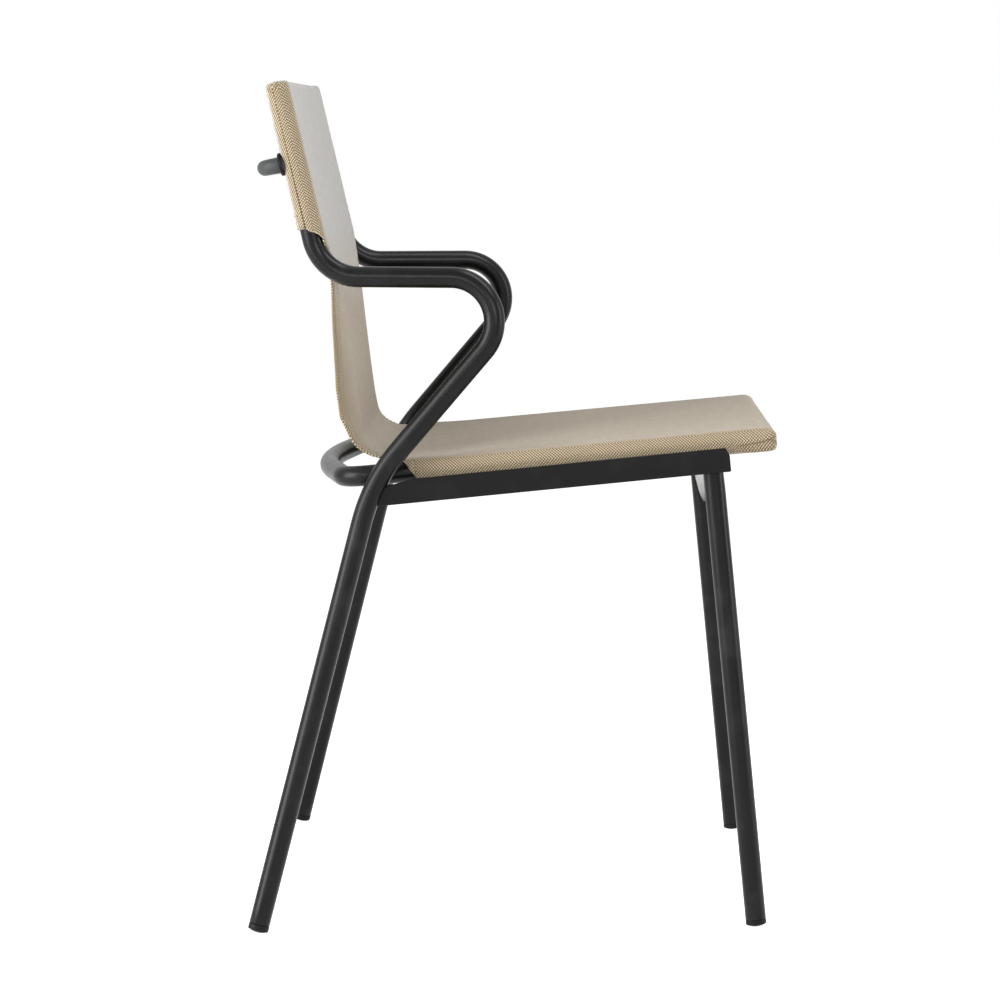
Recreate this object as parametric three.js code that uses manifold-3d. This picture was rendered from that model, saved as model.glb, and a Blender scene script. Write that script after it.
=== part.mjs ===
import * as THREE from 'three';
import { mergeVertices } from 'three/addons/utils/BufferGeometryUtils.js';
import Module from 'manifold-3d';

const wasm = await Module();
wasm.setup();

// Sling patio chair, millimetres. +Z is up, the chair faces -Y and its symmetry plane is X = 0.
// The origin is on the ground, under the middle of the chair.

// Tube stock, clearances and facets.
const tubeDiameter = 20;
const tubeWall = 1.2;
const spreaderDiameter = 15.5;
const weldGap = 0.3;
const slideFit = 0.3;
const cutOverrun = 2;
const cutterSpan = 50;
const mergeTolerance = 0.0001;
const tubeSides = 24;
const roundingSteps = 3;
const domeSteps = 6;
const bendStepAngle = THREE.MathUtils.degToRad(9);

// Side tube: upright, arm, front loop, diagonal and rear leg, all one bent tube.
const uprightSpacing = 408;
const uprightTopHeight = 798;
const backLean = THREE.MathUtils.degToRad(12.77);
const armHeight = 624.5;
const armRearCornerY = 183.5;
const armFrontCornerY = -31.2;
const armFrontSpacing = 476;
const kneeY = 135;
const kneeHeight = 428.3;
const rearFootY = 243.1;
const rearFootSpacing = 543;
const armRearBendRadius = 45;
const armLoopBendRadius = 42;
const kneeBendRadius = 160;

// Seat hoop and its front cross tube, on the slope of the seat.
const seatTubeSpacing = 400.8;
const seatAxisHeight = 446.2;
const seatSlope = THREE.MathUtils.degToRad(5.38);
const hoopCornerY = 161;
const hoopCornerBendRadius = 26;
const hoopRearBow = 37;
const hoopBowRadius = 560;
const frontTubeY = -240.6;

// Flat rails under the sides of the seat.
const railHeight = 23;
const railThickness = 6;
const railAxisHeight = 430.6;
const railSlope = THREE.MathUtils.degToRad(5.9);
const railFrontY = -207.2;
const railRearInset = 3;
const railKneeOffset = 2.3;
const railNoseLength = 3.4;
const railNoseDrop = 7.2;
const railTailLength = 21;
const railTailDrop = 3.2;
const railToeRadius = 1.4;

// Front legs, with the slanted cut on the inner side of their tops.
const frontFootY = -235.6;
const frontFootSpacing = 467.4;
const frontLegTopY = -190.1;
const frontLegTopOffset = 17;
const frontLegTopDrop = 5;
const legFaceGap = 0.4;
const scarfLength = 80;
const scarfDepth = 14.6;
const scarfTurn = THREE.MathUtils.degToRad(25);
const scarfBoreLength = 92;

// Foot caps and the plugs in the hidden tube ends.
const capHeight = 6.6;
const capEdgeRadius = 1.3;
const capShankLength = 18;
const footFacetDepth = 0.7;
const plugDomeHeight = 4;
const plugShankLength = 14;
const boreExtra = 3;

// Bowed spreader behind the back.
const spreaderDrop = 64;
const spreaderReach = 19.6;
const spreaderDip = 6.4;
const spreaderBendRadius = 16;
const collarDiameter = 23.5;
const collarThickness = 4.2;
const collarEdgeRadius = 1.4;

// Sling cloth.
const clothThickness = 1.3;
const sleeveEase = 0.6;
const pocketDepth = 129.5;
const pocketSeamGap = 0.4;
const mouthSweep = 48;
const lowerBackWidth = 376;
const waistCornerY = 168;
const waistCornerHeight = 615.5;
const waistBendRadius = 220;
const seatRearCornerY = 144.2;
const seatRearRise = 3.6;
const seatRearBendRadius = 30;
const seatFlatEndY = 62;
const seatFlatBendRadius = 400;
const hemCurlRadius = 26;
const hemCurlAngle = THREE.MathUtils.degToRad(69);
const sleeveStartY = 105;
const sleeveCutLength = 16;
const sleeveSeamGap = 0.6;
const sleeveWrapAngle = THREE.MathUtils.degToRad(290);
const sleeveColumnCount = 11;
const frontPocketLength = 15;
const leastRowStride = 2.4;
const flatEdgeAngle = THREE.MathUtils.degToRad(2);
const flatColumnCount = 2;
const wrapColumnCount = 4;
const crownStepCount = 4;
// Along the mouth's sweep: distance, width between the lower back's and the pocket's, and wrap round the tube.
const mouthShares = [
  [0, 1, 1],
  [0.06, 1, 0.9],
  [0.16, 1, 0.53],
  [0.256, 1, 0.33],
  [0.39, 1, 0.21],
  [0.48, 0.85, 0.05],
  [0.62, 0.4, 0],
  [0.8, 0.1, 0],
  [1, 0, 0],
];
const hemCurlShares = [0.5, 0.75, 0.9, 0.98, 0.95, 0.6, 0.12];

const tubeRadius = tubeDiameter / 2;
const boreRadius = tubeRadius - tubeWall;
const clothRadius = tubeRadius + sleeveEase + clothThickness / 2;
const uprightX = uprightSpacing / 2;
const seatTubeX = seatTubeSpacing / 2;
const kneeX = seatTubeX + tubeDiameter + weldGap;
const spreaderHeight = uprightTopHeight - spreaderDrop;

const tubeBlack = { color: 0x24252a, roughness: 0.42, metalness: 0.35 };
const railBlack = { color: 0x26272b, roughness: 0.48, metalness: 0.3 };
const plasticBlack = { color: 0x1b1b1d, roughness: 0.62, metalness: 0 };
const clothBeige = { color: 0xb9a88f, roughness: 0.9, metalness: 0 };

// A path of straight runs joined by round bends, stepped only where it turns.
class BentPath extends THREE.Curve {
  constructor(corners, bendRadii) {
    super();
    const directions = corners.slice(1).map((corner, i) => corner.clone().sub(corners[i]).normalize());
    this.stations = [{ point: corners[0], tangent: directions[0] }];
    bendRadii.forEach((radius, i) => this.addBend(corners[i + 1], directions[i], directions[i + 1], radius));
    this.stations.push({ point: corners.at(-1), tangent: directions.at(-1) });
    this.distances = [0];
    for (let i = 1; i < this.stations.length; i++) {
      const stride = this.stations[i].point.distanceTo(this.stations[i - 1].point);
      this.distances.push(this.distances[i - 1] + stride);
    }
  }

  addBend(corner, before, after, radius) {
    const turn = before.angleTo(after);
    const reach = radius * Math.tan(turn / 2);
    const inward = after.clone().addScaledVector(before, -after.dot(before)).normalize();
    const start = corner.clone().addScaledVector(before, -reach);
    const steps = Math.max(1, Math.ceil(turn / bendStepAngle));
    for (let k = 0; k <= steps; k++) {
      const angle = turn * k / steps;
      const point = start.clone().addScaledVector(before, radius * Math.sin(angle));
      point.addScaledVector(inward, radius * (1 - Math.cos(angle)));
      const tangent = before.clone().multiplyScalar(Math.cos(angle)).addScaledVector(inward, Math.sin(angle));
      this.stations.push({ point, tangent });
    }
  }

  get steps() {
    return this.stations.length - 1;
  }

  get span() {
    return this.distances.at(-1);
  }

  getUtoTmapping(u) {
    return u;
  }

  mix(place) {
    const i = Math.min(Math.floor(place), this.steps - 1);
    const share = place - i;
    const point = this.stations[i].point.clone().lerp(this.stations[i + 1].point, share);
    const tangent = this.stations[i].tangent.clone().lerp(this.stations[i + 1].tangent, share).normalize();
    return { point, tangent };
  }

  getPoint(t) {
    return this.mix(t * this.steps).point;
  }

  getTangent(t) {
    return this.mix(t * this.steps).tangent;
  }

  atDistance(distance) {
    let i = 0;
    while (i < this.steps - 1 && this.distances[i + 1] < distance) i++;
    const share = (distance - this.distances[i]) / (this.distances[i + 1] - this.distances[i]);
    return this.mix(i + Math.min(share, 1));
  }
}

function toSolid(geometry) {
  const bare = geometry.index ? geometry.toNonIndexed() : geometry.clone();
  bare.deleteAttribute('normal');
  bare.deleteAttribute('uv');
  const merged = mergeVertices(bare, mergeTolerance);
  const vertProperties = new Float32Array(merged.attributes.position.array);
  const triVerts = new Uint32Array(merged.index.array);
  return new wasm.Manifold(new wasm.Mesh({ numProp: 3, vertProperties, triVerts }));
}

function toGeometry(solid) {
  const mesh = solid.getMesh();
  const geometry = new THREE.BufferGeometry();
  geometry.setAttribute('position', new THREE.BufferAttribute(mesh.vertProperties, 3));
  geometry.setIndex(new THREE.BufferAttribute(mesh.triVerts, 1));
  return geometry;
}

function cut(geometry, ...tools) {
  return toGeometry(tools.reduce((solid, tool) => solid.subtract(toSolid(tool)), toSolid(geometry)));
}

function join(...geometries) {
  return toGeometry(geometries.slice(1).reduce((solid, next) => solid.add(toSolid(next)), toSolid(geometries[0])));
}

function circle(radius) {
  const shape = new THREE.Shape();
  shape.absarc(0, 0, radius, 0, Math.PI * 2);
  return shape;
}

function tubeAlong(path, radius) {
  const options = { steps: path.steps, extrudePath: path, curveSegments: tubeSides / 2 };
  return new THREE.ExtrudeGeometry(circle(radius), options);
}

function rodBetween(start, end, radius) {
  const axis = end.clone().sub(start);
  const rod = new THREE.CylinderGeometry(radius, radius, axis.length(), tubeSides);
  rod.translate(0, axis.length() / 2, 0);
  rod.applyQuaternion(new THREE.Quaternion().setFromUnitVectors(THREE.Object3D.DEFAULT_UP, axis.normalize()));
  return rod.translate(start.x, start.y, start.z);
}

function boreInto(end, inward, radius, length) {
  const mouth = end.clone().addScaledVector(inward, -cutOverrun);
  return rodBetween(mouth, end.clone().addScaledVector(inward, length), radius);
}

function turned(points) {
  const geometry = new THREE.LatheGeometry(points, tubeSides);
  return geometry.rotateX(Math.PI / 2);
}

function roundedCorner(centerX, centerY, radius, from, to) {
  const curve = new THREE.EllipseCurve(centerX, centerY, radius, radius, from, to, to < from);
  return curve.getPoints(roundingSteps);
}

function piece(name, geometry, look) {
  const mesh = new THREE.Mesh(geometry, new THREE.MeshStandardMaterial(look));
  mesh.name = name;
  return mesh;
}

function pointTo(mesh, origin, direction) {
  mesh.position.copy(origin);
  mesh.quaternion.setFromUnitVectors(new THREE.Vector3(0, 0, 1), direction);
  mesh.updateMatrixWorld();
  return mesh;
}

function seatHeightAt(y) {
  return seatAxisHeight - y * Math.tan(seatSlope);
}

const uprightDirection = new THREE.Vector3(0, Math.sin(backLean), Math.cos(backLean));
const backForward = new THREE.Vector3(0, -Math.cos(backLean), Math.sin(backLean));
const seatForward = new THREE.Vector3(0, -Math.cos(seatSlope), Math.sin(seatSlope));
const seatUp = new THREE.Vector3(0, Math.sin(seatSlope), Math.cos(seatSlope));

function seatAxisPoint(x, y) {
  return new THREE.Vector3(x, y, seatHeightAt(y));
}

// Where the seat's sleeves end, behind the pocket of the front edge.
function sleeveEnd(x) {
  return seatAxisPoint(x, frontTubeY).addScaledVector(seatForward, -frontPocketLength - slideFit);
}

// A point on the upright's axis, at x and height z.
function uprightPoint(x, z) {
  return new THREE.Vector3(x, armRearCornerY + (z - armHeight) * Math.tan(backLean), z);
}

// The height of a foot's end face, from its lean: the low edge goes a facet's depth under the ground.
function footPoint(x, y, next) {
  const flat = new THREE.Vector3(x, y, 0);
  const lean = next.clone().sub(flat).normalize().angleTo(new THREE.Vector3(0, 0, 1));
  return new THREE.Vector3(x, y, tubeRadius * Math.sin(lean) - footFacetDepth);
}

function capOffset(foot, next) {
  return foot.clone().addScaledVector(next.clone().sub(foot).normalize(), capHeight + weldGap);
}

function sidePath(side) {
  const knee = new THREE.Vector3(side * kneeX, kneeY, kneeHeight);
  const foot = footPoint(side * rearFootSpacing / 2, rearFootY, knee);
  return new BentPath([
    uprightPoint(side * uprightX, uprightTopHeight),
    uprightPoint(side * uprightX, armHeight),
    new THREE.Vector3(side * armFrontSpacing / 2, armFrontCornerY, armHeight),
    knee,
    capOffset(foot, knee),
  ], [armRearBendRadius, armLoopBendRadius, kneeBendRadius]);
}

function makeSideTube(side) {
  const path = sidePath(side);
  const top = path.stations[0];
  const foot = path.stations.at(-1);
  return cut(
    tubeAlong(path, tubeRadius),
    boreInto(top.point, top.tangent, boreRadius, plugShankLength + boreExtra),
    boreInto(foot.point, foot.tangent.clone().negate(), boreRadius, capShankLength + boreExtra),
  );
}

function hoopPath() {
  return new BentPath([
    seatAxisPoint(seatTubeX, frontTubeY),
    seatAxisPoint(seatTubeX, hoopCornerY),
    seatAxisPoint(0, hoopCornerY + hoopRearBow),
    seatAxisPoint(-seatTubeX, hoopCornerY),
    seatAxisPoint(-seatTubeX, frontTubeY),
  ], [hoopCornerBendRadius, hoopBowRadius, hoopCornerBendRadius]);
}

function makeSeatHoop() {
  const path = hoopPath();
  const inward = seatForward.clone().negate();
  const ends = [path.stations[0].point, path.stations.at(-1).point];
  const bores = ends.map((end) => boreInto(end, inward, boreRadius, plugShankLength + boreExtra));
  return cut(tubeAlong(path, tubeRadius), ...bores);
}

// Straight cross tube between the front ends of the hoop, coped to them.
function makeFrontTube() {
  const end = (side) => seatAxisPoint(side * seatTubeX, frontTubeY);
  const rod = rodBetween(end(-1), end(1), tubeRadius);
  const copes = [-1, 1].map((side) => {
    const front = end(side).addScaledVector(seatForward, cutterSpan / 2);
    const rear = end(side).addScaledVector(seatForward, -cutterSpan / 2);
    return rodBetween(rear, front, tubeRadius + weldGap);
  });
  return cut(rod, ...copes);
}

function railHeightAt(y) {
  return railAxisHeight - y * Math.tan(railSlope);
}

// Flat bar that rises to the front, with a clipped nose and a round toe.
function makeRail(side) {
  const { top: legTop, foot: legFoot } = frontLegEnds(1);
  const railFoot = railHeightAt(frontLegTopY) - railHeight / 2;
  const legShare = (legTop.z - railFoot) / (legTop.z - legFoot.z);
  const legX = THREE.MathUtils.lerp(legTop.x, legFoot.x, legShare);
  const legAtRail = legX + tubeRadius + legFaceGap + railThickness / 2;
  const rearX = kneeX + railKneeOffset;
  const rearY = kneeY - railRearInset;
  const rear = new THREE.Vector3(side * rearX, rearY, railHeightAt(rearY));
  const front = new THREE.Vector3(side * legAtRail, railFrontY, railHeightAt(railFrontY));
  const along = front.clone().sub(rear);
  const length = along.length();
  const half = railHeight / 2;
  const outline = new THREE.Shape();
  outline.moveTo(0, -half);
  outline.lineTo(length - railToeRadius, -half);
  outline.absarc(length - railToeRadius, -half + railToeRadius, railToeRadius, -Math.PI / 2, 0);
  outline.lineTo(length, half - railNoseDrop);
  outline.lineTo(length - railNoseLength, half);
  outline.lineTo(railTailLength, half);
  outline.lineTo(0, half - railTailDrop);
  outline.closePath();
  const bar = new THREE.ExtrudeGeometry(outline, { depth: railThickness, bevelEnabled: false, curveSegments: 4 });
  bar.translate(0, 0, -railThickness / 2);
  const xAxis = along.normalize();
  const outward = new THREE.Vector3().crossVectors(xAxis, new THREE.Vector3(0, 0, 1)).normalize();
  const yAxis = new THREE.Vector3().crossVectors(outward, xAxis);
  bar.applyMatrix4(new THREE.Matrix4().makeBasis(xAxis, yAxis, outward));
  bar.translate(rear.x, rear.y, rear.z);
  return cut(bar, tubeAlong(sidePath(side), tubeRadius + weldGap));
}

function frontLegEnds(side) {
  const topHeight = railHeightAt(frontLegTopY) + railHeight / 2 - frontLegTopDrop;
  const top = new THREE.Vector3(side * (seatTubeX + frontLegTopOffset), frontLegTopY, topHeight);
  const foot = footPoint(side * frontFootSpacing / 2, frontFootY, top);
  return { top, foot, bottom: capOffset(foot, top) };
}

// Straight leg with a bored foot and an open top, cut on a slant where it passes inside the seat's side.
function makeFrontLeg(side) {
  const { top, bottom } = frontLegEnds(side);
  const up = top.clone().sub(bottom).normalize();
  const inward = new THREE.Vector3(-side, 0, 0).addScaledVector(up, side * up.x).normalize();
  const inner = inward.applyAxisAngle(up, side * scarfTurn);
  const slab = new THREE.BoxGeometry(tubeDiameter, cutterSpan, scarfLength * 2);
  slab.translate(tubeDiameter / 2, 0, 0);
  slab.rotateY(-Math.atan(scarfDepth / scarfLength));
  const across = new THREE.Vector3().crossVectors(up, inner);
  slab.applyMatrix4(new THREE.Matrix4().makeBasis(inner, across, up));
  const scarfStart = top.clone().addScaledVector(up, -scarfLength).addScaledVector(inner, tubeRadius);
  const lift = scarfLength - cutOverrun;
  const middle = scarfStart.addScaledVector(up, lift).addScaledVector(inner, -scarfDepth * lift / scarfLength);
  slab.translate(middle.x, middle.y, middle.z);
  return cut(
    rodBetween(bottom, top, tubeRadius),
    boreInto(bottom, up, boreRadius, capShankLength + boreExtra),
    boreInto(top, up.clone().negate(), boreRadius, scarfBoreLength),
    slab,
  );
}

// Foot cap about its own +Z, from the end face up into the tube, trimmed flat where it meets the ground.
function makeFootCap(name, foot, next) {
  const shankRadius = boreRadius - slideFit;
  const rim = roundedCorner(tubeRadius - capEdgeRadius, capEdgeRadius, capEdgeRadius, -Math.PI / 2, 0);
  const profile = [
    new THREE.Vector2(0, 0),
    ...rim,
    new THREE.Vector2(tubeRadius, capHeight),
    new THREE.Vector2(shankRadius, capHeight),
    new THREE.Vector2(shankRadius, capHeight + capShankLength),
    new THREE.Vector2(0, capHeight + capShankLength),
  ];
  const mesh = pointTo(piece(name, turned(profile), plasticBlack), foot, next.clone().sub(foot).normalize());
  const ground = new THREE.BoxGeometry(cutterSpan, cutterSpan, cutterSpan);
  ground.translate(foot.x, foot.y, -cutterSpan / 2);
  ground.applyMatrix4(mesh.matrixWorld.clone().invert());
  mesh.geometry = cut(mesh.geometry, ground);
  return mesh;
}

// Plug about its own +Z: a shank in the bore and a dome outside, as wide as the tube.
function makePlug(name, end, outward, domeHeight) {
  const shankRadius = boreRadius - slideFit;
  const dome = new THREE.EllipseCurve(0, weldGap, tubeRadius, domeHeight, 0, Math.PI / 2, false).getPoints(domeSteps);
  dome.at(-1).x = 0;
  const profile = [
    new THREE.Vector2(0, -plugShankLength),
    new THREE.Vector2(shankRadius, -plugShankLength),
    new THREE.Vector2(shankRadius, weldGap),
    ...dome,
  ];
  return pointTo(piece(name, turned(profile), plasticBlack), end, outward);
}

function spreaderPath() {
  const startY = uprightPoint(0, spreaderHeight).y;
  const rearY = startY + tubeRadius + spreaderReach;
  const start = (side) => new THREE.Vector3(side * uprightX, startY, spreaderHeight);
  const corner = (side) => new THREE.Vector3(side * uprightX, rearY, spreaderHeight - spreaderDip);
  return new BentPath([start(1), corner(1), corner(-1), start(-1)], [spreaderBendRadius, spreaderBendRadius]);
}

function uprightRod(side, radius) {
  const low = uprightPoint(side * uprightX, spreaderHeight - cutterSpan);
  return rodBetween(low, uprightPoint(side * uprightX, spreaderHeight + cutterSpan), radius);
}

function makeSpreader() {
  const copes = [-1, 1].map((side) => uprightRod(side, tubeRadius + weldGap));
  return cut(tubeAlong(spreaderPath(), spreaderDiameter / 2), ...copes);
}

// The spreader with its clearance, as a cutter for what it passes through.
function spreaderBore() {
  return tubeAlong(spreaderPath(), spreaderDiameter / 2 + slideFit);
}

// Collar round the spreader, lying against the cloth behind the upright.
function makeCollar(name, side) {
  const start = uprightPoint(side * uprightX, spreaderHeight);
  const axis = spreaderPath().stations[0].tangent;
  const outer = collarDiameter / 2;
  const rimHeight = collarThickness - collarEdgeRadius;
  const rim = roundedCorner(outer - collarEdgeRadius, rimHeight, collarEdgeRadius, 0, Math.PI / 2);
  const profile = [
    new THREE.Vector2(0, 0),
    new THREE.Vector2(outer, 0),
    ...rim,
    new THREE.Vector2(0, collarThickness),
  ];
  const backward = backForward.clone().negate();
  const clothFace = clothRadius + clothThickness / 2 + weldGap;
  const reach = clothFace / backward.dot(axis);
  const seat = start.clone().addScaledVector(axis, reach);
  const mesh = pointTo(piece(name, turned(profile), plasticBlack), seat, backward);
  mesh.geometry = cut(mesh.geometry, spreaderBore().applyMatrix4(mesh.matrixWorld.clone().invert()));
  return mesh;
}

// Cloth as one closed sheet: a row of points for each station of its length, with its edges curled down.
// flatHalf is the flat part's half width, and wrapRadius and wrapAngle give the curl beside it.
function clothRow(station, shape, flatColumns, wrapColumns) {
  const up = station.normal;
  const points = [];
  const half = [];
  for (let i = 0; i < flatColumns; i++) {
    half.push({ x: shape.flatHalf * i / flatColumns, drop: 0, angle: 0 });
  }
  for (let i = 0; i <= wrapColumns; i++) {
    const angle = shape.wrapAngle * i / wrapColumns;
    const x = shape.flatHalf + shape.wrapRadius * Math.sin(angle);
    half.push({ x, drop: shape.wrapRadius * (1 - Math.cos(angle)), angle });
  }
  const whole = [...half.slice(1).reverse().map((place) => ({ ...place, side: -1 })),
    ...half.map((place) => ({ ...place, side: 1 }))];
  for (const { x, drop, angle, side } of whole) {
    const point = station.point.clone().addScaledVector(up, -drop);
    point.x = side * x;
    const normal = up.clone().multiplyScalar(Math.cos(angle));
    normal.x = side * Math.sin(angle);
    points.push({ point, normal });
  }
  return points;
}

function clothSolid(rows) {
  const columns = rows[0].length;
  const positions = [];
  for (const offset of [clothThickness / 2, -clothThickness / 2]) {
    for (const row of rows) {
      for (const { point, normal } of row) {
        const place = point.clone().addScaledVector(normal, offset);
        positions.push(place.x, place.y, place.z);
      }
    }
  }
  const lower = rows.length * columns;
  const indices = [];
  const quad = (a, b, c, d) => indices.push(a, b, c, a, c, d);
  for (let r = 0; r < rows.length - 1; r++) {
    for (let c = 0; c < columns - 1; c++) {
      const a = r * columns + c;
      quad(a, a + columns, a + columns + 1, a + 1);
      quad(lower + a, lower + a + 1, lower + a + columns + 1, lower + a + columns);
    }
    const left = r * columns;
    const right = left + columns - 1;
    quad(left, lower + left, lower + left + columns, left + columns);
    quad(right, right + columns, lower + right + columns, lower + right);
  }
  const last = (rows.length - 1) * columns;
  for (let c = 0; c < columns - 1; c++) {
    quad(c, c + 1, lower + c + 1, lower + c);
    quad(last + c, lower + last + c, lower + last + c + 1, last + c + 1);
  }
  const geometry = new THREE.BufferGeometry();
  geometry.setAttribute('position', new THREE.Float32BufferAttribute(positions, 3));
  geometry.setIndex(indices);
  return geometry;
}

function mixShapes(stations, distance) {
  let i = 0;
  while (i < stations.length - 2 && stations[i + 1].at < distance) i++;
  const from = stations[i];
  const to = stations[i + 1];
  const share = THREE.MathUtils.clamp((distance - from.at) / (to.at - from.at), 0, 1);
  const mix = (key) => THREE.MathUtils.lerp(from[key], to[key], share);
  return { flatHalf: mix('flatHalf'), wrapRadius: mix('wrapRadius'), wrapAngle: mix('wrapAngle') };
}

const pocketWrapAngle = Math.PI / 2 - pocketSeamGap / 2 / clothRadius;
const pocketShape = { flatHalf: uprightX, wrapRadius: clothRadius, wrapAngle: pocketWrapAngle };

// Crown of the back pocket: rows turned about the line through the tops of the uprights.
function crownRows(facing) {
  const center = uprightPoint(0, uprightTopHeight);
  const rows = [];
  for (let k = 0; k < crownStepCount; k++) {
    const turn = pocketWrapAngle * (1 - k / crownStepCount);
    const normal = facing.clone().multiplyScalar(Math.cos(turn)).addScaledVector(uprightDirection, Math.sin(turn));
    const point = center.clone().addScaledVector(normal, clothRadius);
    rows.push(clothRow({ point, normal }, pocketShape, flatColumnCount, wrapColumnCount));
  }
  return rows;
}

function sheetPath() {
  const start = uprightPoint(0, uprightTopHeight).addScaledVector(backForward, clothRadius);
  const surface = (y, rise) => seatAxisPoint(0, y).addScaledVector(seatUp, clothRadius + rise);
  const end = sleeveEnd(0).addScaledVector(seatUp, clothRadius);
  return new BentPath([
    start,
    new THREE.Vector3(0, waistCornerY, waistCornerHeight),
    surface(seatRearCornerY, seatRearRise),
    surface(seatFlatEndY, 0),
    end,
  ], [waistBendRadius, seatRearBendRadius, seatFlatBendRadius]);
}

// How the main sheet's edges run, at distances from the top of the uprights down to the seat's front.
function sheetStations(path) {
  const lowerHalf = lowerBackWidth / 2;
  const flat = (at, width) => ({ at, flatHalf: width, wrapRadius: clothRadius, wrapAngle: flatEdgeAngle });
  const curlStart = pocketDepth + mouthSweep;
  const seatStart = path.span - (sleeveStartY - sleeveEnd(0).y) / Math.cos(seatSlope);
  const stations = [{ at: 0, ...pocketShape }];
  mouthShares.forEach(([atShare, widthShare, wrapShare]) => {
    const flatHalf = THREE.MathUtils.lerp(lowerHalf, uprightX, widthShare);
    const wrapAngle = THREE.MathUtils.lerp(flatEdgeAngle, pocketWrapAngle, wrapShare);
    stations.push({ at: pocketDepth + mouthSweep * atShare, flatHalf, wrapRadius: clothRadius, wrapAngle });
  });
  hemCurlShares.forEach((curlShare, i) => {
    const at = curlStart + (seatStart - sleeveCutLength - curlStart) * (i + 1) / hemCurlShares.length;
    const wrapAngle = hemCurlAngle * curlShare;
    const reach = hemCurlRadius * Math.sin(wrapAngle);
    stations.push({ at, flatHalf: lowerHalf - reach, wrapRadius: hemCurlRadius, wrapAngle });
  });
  const seatHalf = seatTubeX - sleeveSeamGap;
  stations.push(flat(seatStart, seatHalf), flat(path.span, seatHalf));
  return stations;
}

// Sleeve of the seat's side: a strip round the hoop from the sheet's edge to under it, cut on a slant behind.
function makeSleeve(side) {
  const startAngle = sleeveSeamGap / 2 / clothRadius;
  const rear = seatAxisPoint(side * seatTubeX, sleeveStartY);
  const front = sleeveEnd(side * seatTubeX);
  const rows = [[], []];
  for (let i = 0; i <= sleeveColumnCount; i++) {
    const turn = THREE.MathUtils.lerp(startAngle, sleeveWrapAngle, i / sleeveColumnCount);
    const normal = seatUp.clone().multiplyScalar(Math.cos(turn));
    normal.x = side * Math.sin(turn);
    const slant = sleeveCutLength * (1 - Math.cos(Math.min(turn, Math.PI))) / 2;
    const rearPoint = rear.clone().addScaledVector(seatForward, slant).addScaledVector(normal, clothRadius);
    rows[0].push({ point: rearPoint, normal });
    rows[1].push({ point: front.clone().addScaledVector(normal, clothRadius), normal });
  }
  if (side < 0) rows.forEach((row) => row.reverse());
  return clothSolid(rows);
}

function makeSheet() {
  const path = sheetPath();
  const stations = sheetStations(path);
  const marks = stations.map((station) => station.at);
  const bends = path.distances.slice(1, -1);
  const curled = (at) => at > pocketDepth + mouthSweep && at < path.span;
  const places = [...marks, ...bends.filter(curled)].sort((a, b) => a - b);
  const kept = places.filter((at, i) => marks.includes(at) || at - places[i - 1] > leastRowStride);
  const rows = crownRows(backForward);
  for (const at of kept) {
    const { point, tangent } = path.atDistance(at);
    const normal = new THREE.Vector3(0, tangent.z, -tangent.y);
    rows.push(clothRow({ point, normal }, mixShapes(stations, at), flatColumnCount, wrapColumnCount));
  }
  return clothSolid(rows);
}

// Rear half of the back pocket, with a hole for each end of the spreader.
function makeBackPanel() {
  const backward = backForward.clone().negate();
  const rows = crownRows(backward);
  const top = uprightPoint(0, uprightTopHeight).addScaledVector(backward, clothRadius);
  for (const depth of [0, pocketDepth]) {
    const point = top.clone().addScaledVector(uprightDirection, -depth);
    rows.push(clothRow({ point, normal: backward }, pocketShape, flatColumnCount, wrapColumnCount));
  }
  return cut(clothSolid(rows.reverse()), spreaderBore());
}

// Rod across the seat's front with a ball at each end, where the front tube lies.
function capsule(radius) {
  const arc = (center, from, to) => {
    const curve = new THREE.EllipseCurve(0, center, radius, radius, from, to, false);
    return curve.getPoints(domeSteps);
  };
  const profile = [...arc(-seatTubeX, -Math.PI / 2, 0), ...arc(seatTubeX, 0, Math.PI / 2)];
  profile[0].x = 0;
  profile.at(-1).x = 0;
  const solid = new THREE.LatheGeometry(profile, tubeSides).rotateZ(Math.PI / 2);
  return solid.translate(0, frontTubeY, seatHeightAt(frontTubeY));
}

// Front edge of the seat: the cloth goes round the cross tube and closes over the ends of the hoop.
function makeFrontPocket() {
  const outer = clothRadius + clothThickness / 2;
  const inner = clothRadius - clothThickness / 2;
  const start = (side, extra) => {
    return seatAxisPoint(side * seatTubeX, frontTubeY).addScaledVector(seatForward, -frontPocketLength - extra);
  };
  const end = (side) => seatAxisPoint(side * seatTubeX, frontTubeY);
  const top = new THREE.BoxGeometry(seatTubeSpacing, frontPocketLength, clothThickness);
  top.translate(0, frontPocketLength / 2, clothRadius);
  top.rotateX(-seatSlope);
  top.translate(0, frontTubeY, seatHeightAt(frontTubeY));
  const arms = [-1, 1].map((side) => rodBetween(start(side, 0), end(side), outer));
  const shell = join(capsule(outer), ...arms, top);
  return cut(shell, capsule(inner), ...[-1, 1].map((side) => rodBetween(start(side, cutOverrun), end(side), inner)));
}

const chair = new THREE.Group();
const sides = [{ label: 'right', side: -1 }, { label: 'left', side: 1 }];

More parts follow.
